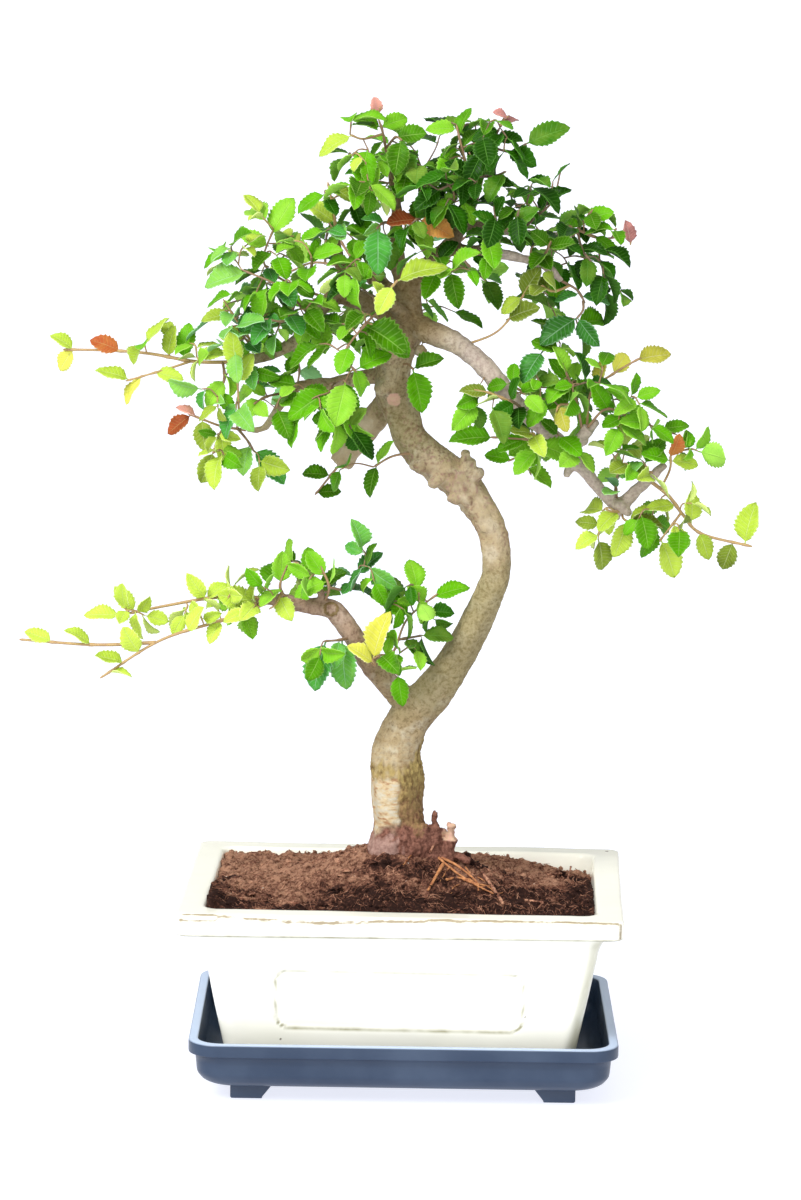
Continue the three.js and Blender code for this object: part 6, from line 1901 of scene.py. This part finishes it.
class BONSAI_OT_wood(bpy.types.Operator):
    """Trunk and branches as one grown piece, with knots, cuts and bark"""

    bl_idname = "bonsai.wood"
    bl_label = "Trunk and branches"

    def execute(self, context):
        settings = context.scene.bonsai.wood
        bm = bmesh.new()
        for name, points in [*(WOOD | FINER).items(), *enumerate(STUBS)]:
            route = smooth_route(points, 1.6)
            centres = [point[:3] for point in route]
            radii = [point[3] for point in route]
            turns = TRUNK_RINGS / (len(route) - 1)

            def trunk_relief(angle, step):
                slow, quick = 3 * angle + step * turns * 0.9, 5 * angle - step * turns * 1.7
                return 1 + 0.05 * math.sin(slow) + 0.03 * math.sin(quick)

            def branch_relief(angle, step):
                return 1 + 0.05 * math.sin(2 * angle + step * 0.31)

            if name == "trunk":
                tube(bm, centres, radii, 40, trunk_relief)
            else:
                tube(bm, centres, radii, 20, branch_relief)
        for x, y, z, radius in KNOTS + LUMPS:
            matrix = Matrix.Translation(place(x, y, z)) @ Matrix.Diagonal((1, 1, 0.9, 1))
            bmesh.ops.create_icosphere(bm, subdivisions=3, radius=radius * MM, matrix=matrix)
        piece = piece_from(bm, "elm_wood", elm_bark(settings))
        remesh = piece.modifiers.new("skin", "REMESH")
        remesh.mode = "VOXEL"
        remesh.voxel_size = settings.grain
        remesh.use_smooth_shade = True
        smooth = piece.modifiers.new("soften", "SMOOTH")
        smooth.iterations = 3
        smooth.factor = 0.5
        applied(piece)
        self.roughen(piece)
        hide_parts("tree_wood")
        return {"FINISHED"}

    def roughen(self, piece):
        """Raises the bark's ridges and marks its kinds"""
        mesh = piece.data
        points = coordinates(mesh)
        normals = vertices_of(mesh, "normal")
        trunk = [np.array(point[:3], float) for point in WOOD["trunk"]]
        from_trunk = stem_distances(points, np.array(trunk[:-1]), np.array(trunk[1:])).min(1)
        raised = np.zeros(len(points))
        kinds = ("old", "pale", "red", "grey", "dark", "scar", "mauve", "olive", "fair")
        marks = {name: np.zeros(len(points)) for name in kinds}
        for index, (x, y, z) in enumerate(points):
            broad = noise.noise((x * 0.09, y * 0.09, z * 0.07))
            fine = noise.noise((x * 0.45, y * 0.45, z * 0.28))
            small = noise.noise((x * 0.9, y * 0.9, z * 0.7))
            on_trunk = from_trunk[index] < 15 and z < 350 or z < 127
            thick = 1.0 if on_trunk else 0.5
            found = {}
            lifts = [thick * (0.4 * broad + 0.3 * fine + 0.16 * small)]
            if z > 345 or not on_trunk:
                found |= self.branch(x, z, 8 * broad)
            if not on_trunk:
                lifts.append(0.5 * noise.noise((x * 0.25, y * 0.25, z * 0.25)))
            elif z < 165:
                found |= self.old_trunk(x, y, z, fine, lifts)
            else:
                facing_down = normals[index][2] < 0.2
                dark = found.get("dark", 0)
                found |= self.smooth_trunk(x, y, z, (broad, fine, small), facing_down, lifts)
                found["dark"] = max(dark, found["dark"])
            for name, value in found.items():
                marks[name][index] = value
            for lift in lifts:
                raised[index] += lift
        for centre, radius, ring in CUTS:
            near = np.linalg.norm(points - np.array(centre), axis=1)
            raised[np.abs(near - radius) < 0.7] += 0.5
            raised[near < radius - 0.7] -= 0.25
            shown = np.abs(near - radius) < 0.8 if ring else near < radius
            marks["dark" if ring else "scar"][shown] = 1
        move_to(mesh, points + normals * raised[:, None])
        mesh.update()
        for name, values in marks.items():
            set_attribute(mesh, name, values)

    def branch(self, x, z, wander):
        """Branches: painted shade in the crown, greyish on the right, mauve low down, a pale rear
        stub
        """
        return {
            "dark": 0.75 * ramp(z + wander - 0.5 * abs(x + 4), 338, 356) * (x < 40),
            "grey": 0.85 * ramp(x + wander, 8, 22) * (z > 255) * (z > 300 or x > 45),
            "mauve": 0.6 * ramp(x + wander, -8, -24) * (z < 260),
            "fair": ramp(x, -14, -20) * ramp(z, 318, 308) * (270 < z < 320),
        }

    def old_trunk(self, x, y, z, fine, lifts):
        """Old rough bark on the right and in a band above the cream bark, red at the foot"""
        split = x + 2.6 * noise.noise((z * 0.16, y * 0.1, 2)) + 3.6
        ragged = 2.2 * noise.noise((x * 0.3, y * 0.3, 5))
        top = 146 + 15 * ramp(x + 2 * fine, 1, 7)
        old = ramp(split, -0.5, 0.5) * ramp(z + ragged, top + 1.2, top - 1.2) * (y < 6)
        band = max(0, 1 - abs(z - 146 + 1.5 * ragged) / 5)
        old = max(old, min(0.9, 1.8 * band * (0.75 + fine)))
        pale = (1 - old) * max(ramp(z, 145, 143), 0.35 * ramp(z + 9 * fine, 165, 150))
        foot = 118 + 4 * noise.noise((x * 0.22, y * 0.22, z * 0.22)) + 4 * (x > 8)
        foot += 4.5 * math.exp(-(((x + 2) / 7) ** 2))
        red = max(ramp(foot - z, -1, 3), (x > 9) * ramp(z, 133, 129))
        red = max(red, 0.55 * old * ramp(z + 6 * fine, 142, 126))
        ridge = abs(noise.noise((x * 0.55, y * 0.55, z * 0.16)))
        flake = abs(noise.noise((x * 0.6, y * 0.6, z * 0.24)))
        lifts += [
            old * 1.1 * (0.35 - ridge) * (1 - 0.5 * red),
            0.8 * old * noise.noise((x * 0.8, y * 0.8, z * 0.6)),
            red * 1.3 * noise.noise((x * 0.2, y * 0.2, z * 0.16)),
            red * 0.7 * (0.3 - flake),
            -0.9 * max(0, 1 - abs(split) / 0.9) * ramp(z, 143, 140),
        ]
        # Smooth mauve skin low on the left
        mauve = ramp(-2 - x + 4 * fine, 0, 3) * ramp(116 + 3 * fine - z, 0, 2) * red
        return {"old": old, "pale": pale * (1 - red), "red": red, "mauve": mauve}

    def smooth_trunk(self, x, y, z, noises, facing_down, lifts):
        """Buff bark with olive and rubbed stretches, lumpy and flaking under the bend, whose
        downward faces get painted shade
        """
        broad, fine, small = noises
        rugged = 0.5 + 0.5 * noise.noise((x * 0.05 + 4, y * 0.05, z * 0.05))
        wander = 9 * broad + 4 * fine
        low = min(ramp(z + wander, 168, 182), ramp(z + wander, 256, 232))
        high = min(ramp(z + wander, 290, 300), ramp(z + wander, 326, 312))
        knotty = ramp(z, 268, 274) * ramp(z, 304, 298) * ramp(small, 0.05, 0.3)
        under = ramp(z, 262, 270) * ramp(z, 300, 290) * facing_down
        lifts += [
            0.5 * rugged * noise.noise((x * 0.22, y * 0.22, z * 0.16)),
            1.3 * under * noise.noise((x * 0.3, y * 0.3, z * 0.3)),
        ]
        return {
            "olive": 0.8 * max(low, high),
            "fair": 0.7 * min(ramp(z + wander, 244, 258), ramp(z + wander, 296, 284)),
            "mauve": 0.75 * knotty * ramp(broad + fine, -0.2, 0.3),
            "red": 0.5 * ramp(small - broad, 0.35, 0.6) * ramp(z, 240, 250),
            # Painted shade on the downward faces under the bend
            "dark": 0.3 * under * ramp(fine, 0.0, 0.4),
        }


class BONSAI_OT_rootlets(bpy.types.Operator):
    """Orange-brown rootlets that lie on the soil at the trunk's foot"""

    bl_idname = "bonsai.rootlets"
    bl_label = "Rootlets"

    # Start, heading in radians, number of steps and radius of the finer rootlets
    FINER = (
        ((27, -26), 0.2, 5, 0.45), ((30, -25), -0.5, 5, 0.4), ((22, -18), -2.3, 6, 0.35),
        ((36, -30), 0.1, 4, 0.35), ((20, -6), 2.9, 3, 0.45), ((25, -30), -1.9, 5, 0.3),
        ((20, -17), -0.9, 5, 0.4), ((28, -12), -0.7, 5, 0.45),
    )
    # Route and radius of a stout one and of a long thin one
    LONGER = (
        ([(17.4, -18), (14, -30), (10.4, -42)], 1.0),
        ([(21, -3), (10, -2), (3, -14), (-3, -27)], 0.42),
    )

    def execute(self, context):
        settings = context.scene.bonsai.wood
        draw = random_draws(SEEDS["rootlets"])
        found = [self.laid(line, 0.66, draw) for line in ROOTLETS]
        stride = 3.2
        for (x, y), heading, steps, radius in self.FINER:
            line = []
            for _ in range(steps):
                line.append((x, y))
                heading += (draw() - 0.5) * 0.8
                x, y = x + stride * math.cos(heading), y + stride * math.sin(heading)
            found.append(self.laid(line, radius, draw))
        for line, radius in self.LONGER:
            found.append(self.laid(line, radius, draw))
        piece = piece_from(heap(found), "rootlets", fine_root(settings))
        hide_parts("surface_roots")
        return {"FINISHED"}

    def laid(self, line, thickness, draw):
        """A rootlet that thins out along a line on the soil"""
        lift = 1.4 if thickness > 0.6 else 0.9
        points = [(x, y, soil_height(x, y) + lift, thickness) for x, y in line]
        route = smooth_route(points, 1.5)
        last = len(route) - 1
        radii = [
            point[3] * (1 - 0.5 * step / last) * (0.85 + 0.3 * draw())
            for step, point in enumerate(route)
        ]
        return single_tube([point[:3] for point in route], radii, 7)


# By leaf colour: how old and grey its twig is, the colour of the ribs, which also paints the rim
# light of the margins and edges, and the roughness
TWIG_AGE = {
    "lime": 0.25, "gold": 0.35, "pink": 0.2, "bronze": 0.35, "green": 0.6, "teal": 0.75,
    "deep": 0.9,
}
RIBS_AND_RIM_LIGHT = {
    "green": "#B4E070", "deep": "#7CBC50", "teal": "#BCE8BC", "lime": "#E8F5B0",
    "gold": "#F2EFC0", "bronze": "#E0B878", "pink": "#F8DAD0",
}
ROUGHNESS = {
    "green": 0.36, "deep": 0.3, "teal": 0.26, "lime": 0.42, "gold": 0.42, "bronze": 0.42,
    "pink": 0.42,
}
# The toothed leaf: its stalk, its teeth, and how many teeth a half has up to which length
FINE_LEAF = {
    "stalk": 0.09, "stalk_width": 0.055, "tooth": 1.09, "notch": 0.93, "forward": 0.55,
    "lanes": 4, "teeth": ((12, 5), (17, 7), (99, 9)),
}


def leaf_outline(share):
    """Half width of the fine leaf as a share of the widest, without its teeth"""
    t = (share - FINE_LEAF["stalk"]) / (1 - FINE_LEAF["stalk"])
    if t <= 0:
        return FINE_LEAF["stalk_width"]
    return 0.0 if t >= 1 else math.sin(math.pi * t**0.88) ** 0.66


def leaf_shape(teeth):
    """A flat toothed leaf: x is the share of its length, y of its half width, z the lane"""
    stalk, lanes = FINE_LEAF["stalk"], FINE_LEAF["lanes"]
    cells = 2 * teeth + 1
    bm = bmesh.new()
    layer = bm.loops.layers.uv.new("leaf")
    bmesh.ops.create_grid(bm, x_segments=cells, y_segments=lanes, size=0.5)
    pattern = {}
    for vertex in bm.verts:
        step = round((vertex.co.x + 0.5) * cells)
        lane = round((vertex.co.y + 0.5) * lanes) * 2 / lanes - 1
        share = stalk + (1 - stalk) * (step - 1) / (cells - 1) if step else -0.02
        toothed = abs(lane) == 1 and 1 < step < cells
        if toothed and step % 2:
            share += FINE_LEAF["forward"] * (1 - stalk) / (cells - 1)
        wide = leaf_outline(share)
        if toothed:
            wide *= FINE_LEAF["tooth" if step % 2 else "notch"]
            wide = max(FINE_LEAF["stalk_width"], wide)
        pattern[vertex] = (share, 0.5 + 0.5 * lane * (wide if wide < 0.2 else 1.0))
        vertex.co = (share, lane * wide, abs(lane))
    for face in bm.faces:
        for loop in face.loops:
            loop[layer].uv = pattern[loop.vert]
    tip = [v for v in bm.verts if v.co.x > 0.999 and not v.co.y]
    bmesh.ops.remove_doubles(bm, verts=tip, dist=2)
    # The faces turn up while the lanes are nearly level
    for vertex in bm.verts:
        vertex.co.z *= 0.001
    bmesh.ops.recalc_face_normals(bm, faces=bm.faces)
    bm.normal_update()
    if sum(face.normal.z for face in bm.faces) < 0:
        bmesh.ops.reverse_faces(bm, faces=bm.faces)
    for vertex in bm.verts:
        vertex.co.z *= 1000
    return mesh_of(bm, "leaf")


def leaf_points(shape, blade, freedom, draw):
    """The shape laid along a blade, with its own fold, arch, twist and wavy edge"""
    share, across, lane = shape.T
    side = across * blade.width * 1.02
    body = np.clip((share - FINE_LEAF["stalk"]) * 6, 0, 1)
    fold = freedom * 0.55 * draw() ** 1.5
    arch = freedom * (0.34 * draw() - 0.12) + (draw() - 0.5) * 0.1
    twist = (draw() - 0.5) * (0.3 + 0.7 * freedom)
    wave = 0.035 * blade.length * np.sin(share * 9 + draw() * 6.28) * lane**2
    bend = arch * blade.length * share * (0.5 - share)
    lift = body * (fold * np.abs(side) + bend + twist * side * (share - 0.2) + wave)
    return blade.point(share, side * (1 - 0.25 * fold), lift)


class BONSAI_OT_foliage(bpy.types.Operator):
    """Leafy sprays: the twigs, and the toothed leaves by colour"""

    bl_idname = "bonsai.foliage"
    bl_label = "Twigs and leaves"

    def execute(self, context):
        settings = context.scene.bonsai
        twigs, crowd = grow_twigs()
        limits = [
            np.array(corner) / MM - np.array(SHIFT) + side * FILL["margin"]
            for corner, side in zip(cad_box, (1, -1))
        ]
        twigs += fill_clumps(crowd, len(twigs), *limits)
        self.limits = [limits[0] - FILL["margin"] + 0.3, limits[1] + FILL["margin"] - 0.3]
        self.twigs(settings.wood, twigs)
        shapes = {teeth: leaf_shape(teeth) for _, teeth in FINE_LEAF["teeth"]}
        for tint, pale in RIBS_AND_RIM_LIGHT.items():
            face, light = list(getattr(settings.leaves, tint)), linear(pale)
            # The edge material on each leaf's thin rim is paled half way to the rib colour as
            # painted rim light; the paler underside is the leaf's own
            under, edge = ([c * (1 - t) + p * t for c, p in zip(face, light)] for t in (0.35, 0.5))
            materials = [
                elm_leaf(f"elm_leaf_{tint}", face, light, ROUGHNESS[tint]),
                elm_leaf(f"elm_leaf_{tint}_beneath", under, light, 0.65, 0.2, 1.0),
                elm_leaf(f"elm_leaf_{tint}_edge", edge, light, 0.5, 0.2),
            ]
            piece = self.leaves(tint, shapes, materials, settings.leaves, twigs)
            nodes = {twig["node"] for twig in twigs if twig["tint"] == tint}
            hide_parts(*sorted(nodes - {None}))
        for shape in shapes.values():
            bpy.data.meshes.remove(shape)
        return {"FINISHED"}

    def leaves(self, tint, shapes, materials, settings, twigs):
        """All leaves of one colour, each with a tone of its own that also carries painted light and
        shade by place
        """
        draw = random_draws(SEEDS["leaves"] + len(tint))
        used, found, tones_with_painted_light = [], [], []
        outlines = {teeth: vertices_of(shape) for teeth, shape in shapes.items()}
        for twig in twigs:
            for blade, own in zip(twig["leaves"], twig["tints"]):
                if own != tint:
                    continue
                teeth = next(count for most, count in FINE_LEAF["teeth"] if blade.length <= most)
                freedom = 0.75 if twig["node"] else 1.0
                points = leaf_points(outlines[teeth], blade, freedom, draw)
                used.append(shapes[teeth])
                found.append(points)
                # Painted light: paler towards the far left; painted shade: deeper on the right of
                # the crown's top
                x, _, z = blade.base
                pale = 0.35 * min(1, max(0, (-x - 45) / 90))
                shaded = 0.24 * min(1, max(0, (x - 2) / 30)) * (z > BEARING["height"])
                tones_with_painted_light += [min(1, max(0, draw() + pale - shaded))] * len(points)
        mesh = mesh_of(repeated(used), f"leaves_{tint}")
        move_to(mesh, np.clip(np.vstack(found), *self.limits))
        set_attribute(mesh, "tone", tones_with_painted_light)
        piece = object_of(smoothed(mesh), f"leaves_{tint}", materials)
        solid = piece.modifiers.new("thickness", "SOLIDIFY")
        solid.thickness = settings.thickness
        solid.offset = 0.0
        solid.material_offset = 1
        solid.material_offset_rim = 2
        applied(piece)
        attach(piece, "root")
        return piece

    def twigs(self, settings, twigs):
        """Round twigs with a small swelling at each leaf"""
        tubes, ages = [], []
        for twig in twigs:
            points = [(*spot, radius) for spot, radius in zip(twig["route"], twig["radii"])]
            route = smooth_route(points, 1.3)
            bases = [blade.base for blade in twig["leaves"]]
            # The longest shoots are as thick as the solids', the others slimmer
            slim = 0.95 if len(route) > 46 else 0.68
            radii = []
            for point in route:
                swell = max((1 - math.dist(point[:3], base) / 2 for base in bases), default=0)
                radii.append(point[3] * (slim + 0.35 * max(0, swell)))
            radii[-1] *= 0.55
            sides = 6 if twig["node"] else 4
            tubes.append(single_tube([point[:3] for point in route], radii, sides))
            ages += [TWIG_AGE[twig["tint"]]] * len(tubes[-1].verts)
        piece = piece_from(heap(tubes), "twigs", young_shoot(settings))
        set_attribute(piece.data, "age", ages)
        found = np.clip(coordinates(piece.data), *self.limits)
        move_to(piece.data, found)
        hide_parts(*sorted({twig["node"] for twig in twigs} - {None}))


class BONSAI_OT_stage(bpy.types.Operator):
    """Pale floor, soft light and the camera"""

    bl_idname = "bonsai.stage"
    bl_label = "Stage"

    # Name, direction it comes from, strength and angle in degrees of each soft light
    LIGHTS = (
        ("key", (-0.7, -0.7, 0.95), 2.45, 35), ("glint", (-0.7, -0.7, 0.95), 0.6, 5),
        ("fill", (0.8, -0.6, 0.5), 0.25, 70), ("front", (0.1, -1.0, 0.35), 1.0, 60),
    )
    # Strength of the even white light
    SKY = 0.53
    # The camera's tilt down and its roll in degrees, and how far it is aside in millimetres
    TILT, ROLL, ASIDE = 8.95, 0.86, -4.5

    def execute(self, context):
        settings = context.scene.bonsai.stage
        scene = context.scene
        bm = bmesh.new()
        bmesh.ops.create_circle(bm, cap_ends=True, segments=64, radius=60)
        material, tree, shader = new_material("pale_floor")
        connect(
            tree, shader, Base_Color=settings.floor, Roughness=0.35,
            Specular_IOR_Level=0.4, Emission_Color=(0.88, 0.90, 1.0), Emission_Strength=0.85,
        )
        object_of(mesh_of(bm, "floor"), "floor", [material])
        world = bpy.data.worlds.new("studio")
        world.use_nodes = True
        background = world.node_tree.nodes["Background"]
        background.inputs["Color"].default_value = (1, 1, 1, 1)
        background.inputs["Strength"].default_value = self.SKY
        scene.world = world
        for name, direction, strength, angle in self.LIGHTS:
            light = bpy.data.lights.new(name, "SUN")
            light.energy = strength
            light.angle = math.radians(angle)
            lamp = bpy.data.objects.new(name, light)
            lamp.rotation_euler = Vector(direction).to_track_quat("Z", "Y").to_euler()
            scene.collection.objects.link(lamp)
        self.camera(scene, settings)
        scene.view_settings.view_transform = "Standard"
        return {"FINISHED"}

    def camera(self, scene, settings):
        """Camera at the photograph's place, tilted down and rolled a little"""
        down, roll = math.radians(self.TILT), math.radians(self.ROLL)
        forward = Vector((0, math.cos(down), -math.sin(down)))
        right, up = Vector((1, 0, 0)), Vector((0, math.sin(down), math.cos(down)))
        turned_right = right * math.cos(roll) + up * math.sin(roll)
        turned_up = up * math.cos(roll) - right * math.sin(roll)
        data = bpy.data.cameras.new("camera")
        data.lens = settings.lens
        data.sensor_width = 36
        data.sensor_fit = "AUTO"
        data.clip_start, data.clip_end = 0.1, 200
        camera = bpy.data.objects.new("camera", data)
        axes = Matrix((turned_right, turned_up, -forward)).transposed().to_4x4()
        spot = place(self.ASIDE, -settings.distance / MM, settings.height / MM)
        camera.matrix_world = Matrix.Translation(spot) @ axes
        scene.collection.objects.link(camera)
        scene.camera = camera


OPERATORS = (
    BONSAI_OT_stage, BONSAI_OT_tray, BONSAI_OT_pot, BONSAI_OT_meshes, BONSAI_OT_soil,
    BONSAI_OT_wood, BONSAI_OT_rootlets, BONSAI_OT_foliage,
)


class BONSAI_PT_panel(bpy.types.Panel):
    """Lists the pieces in the sidebar"""

    bl_label = "Elm Bonsai"
    bl_idname = "BONSAI_PT_panel"
    bl_space_type = "VIEW_3D"
    bl_region_type = "UI"
    bl_category = "Elm Bonsai"

    def draw(self, context):
        for operator in OPERATORS:
            self.layout.operator(operator.bl_idname)


CLASSES = (
    BonsaiPot, BonsaiTray, BonsaiSoil, BonsaiWood, BonsaiLeaves, BonsaiStage, BonsaiSettings,
    *OPERATORS, BONSAI_PT_panel,
)


def register():
    for item in CLASSES:
        bpy.utils.register_class(item)
    bpy.types.Scene.bonsai = PointerProperty(type=BonsaiSettings)


def unregister():
    del bpy.types.Scene.bonsai
    for item in reversed(CLASSES):
        bpy.utils.unregister_class(item)


def main():
    register()
    for operator in OPERATORS:
        family, name = operator.bl_idname.split(".")
        getattr(getattr(bpy.ops, family), name)()


if __name__ == "__main__":
    main()
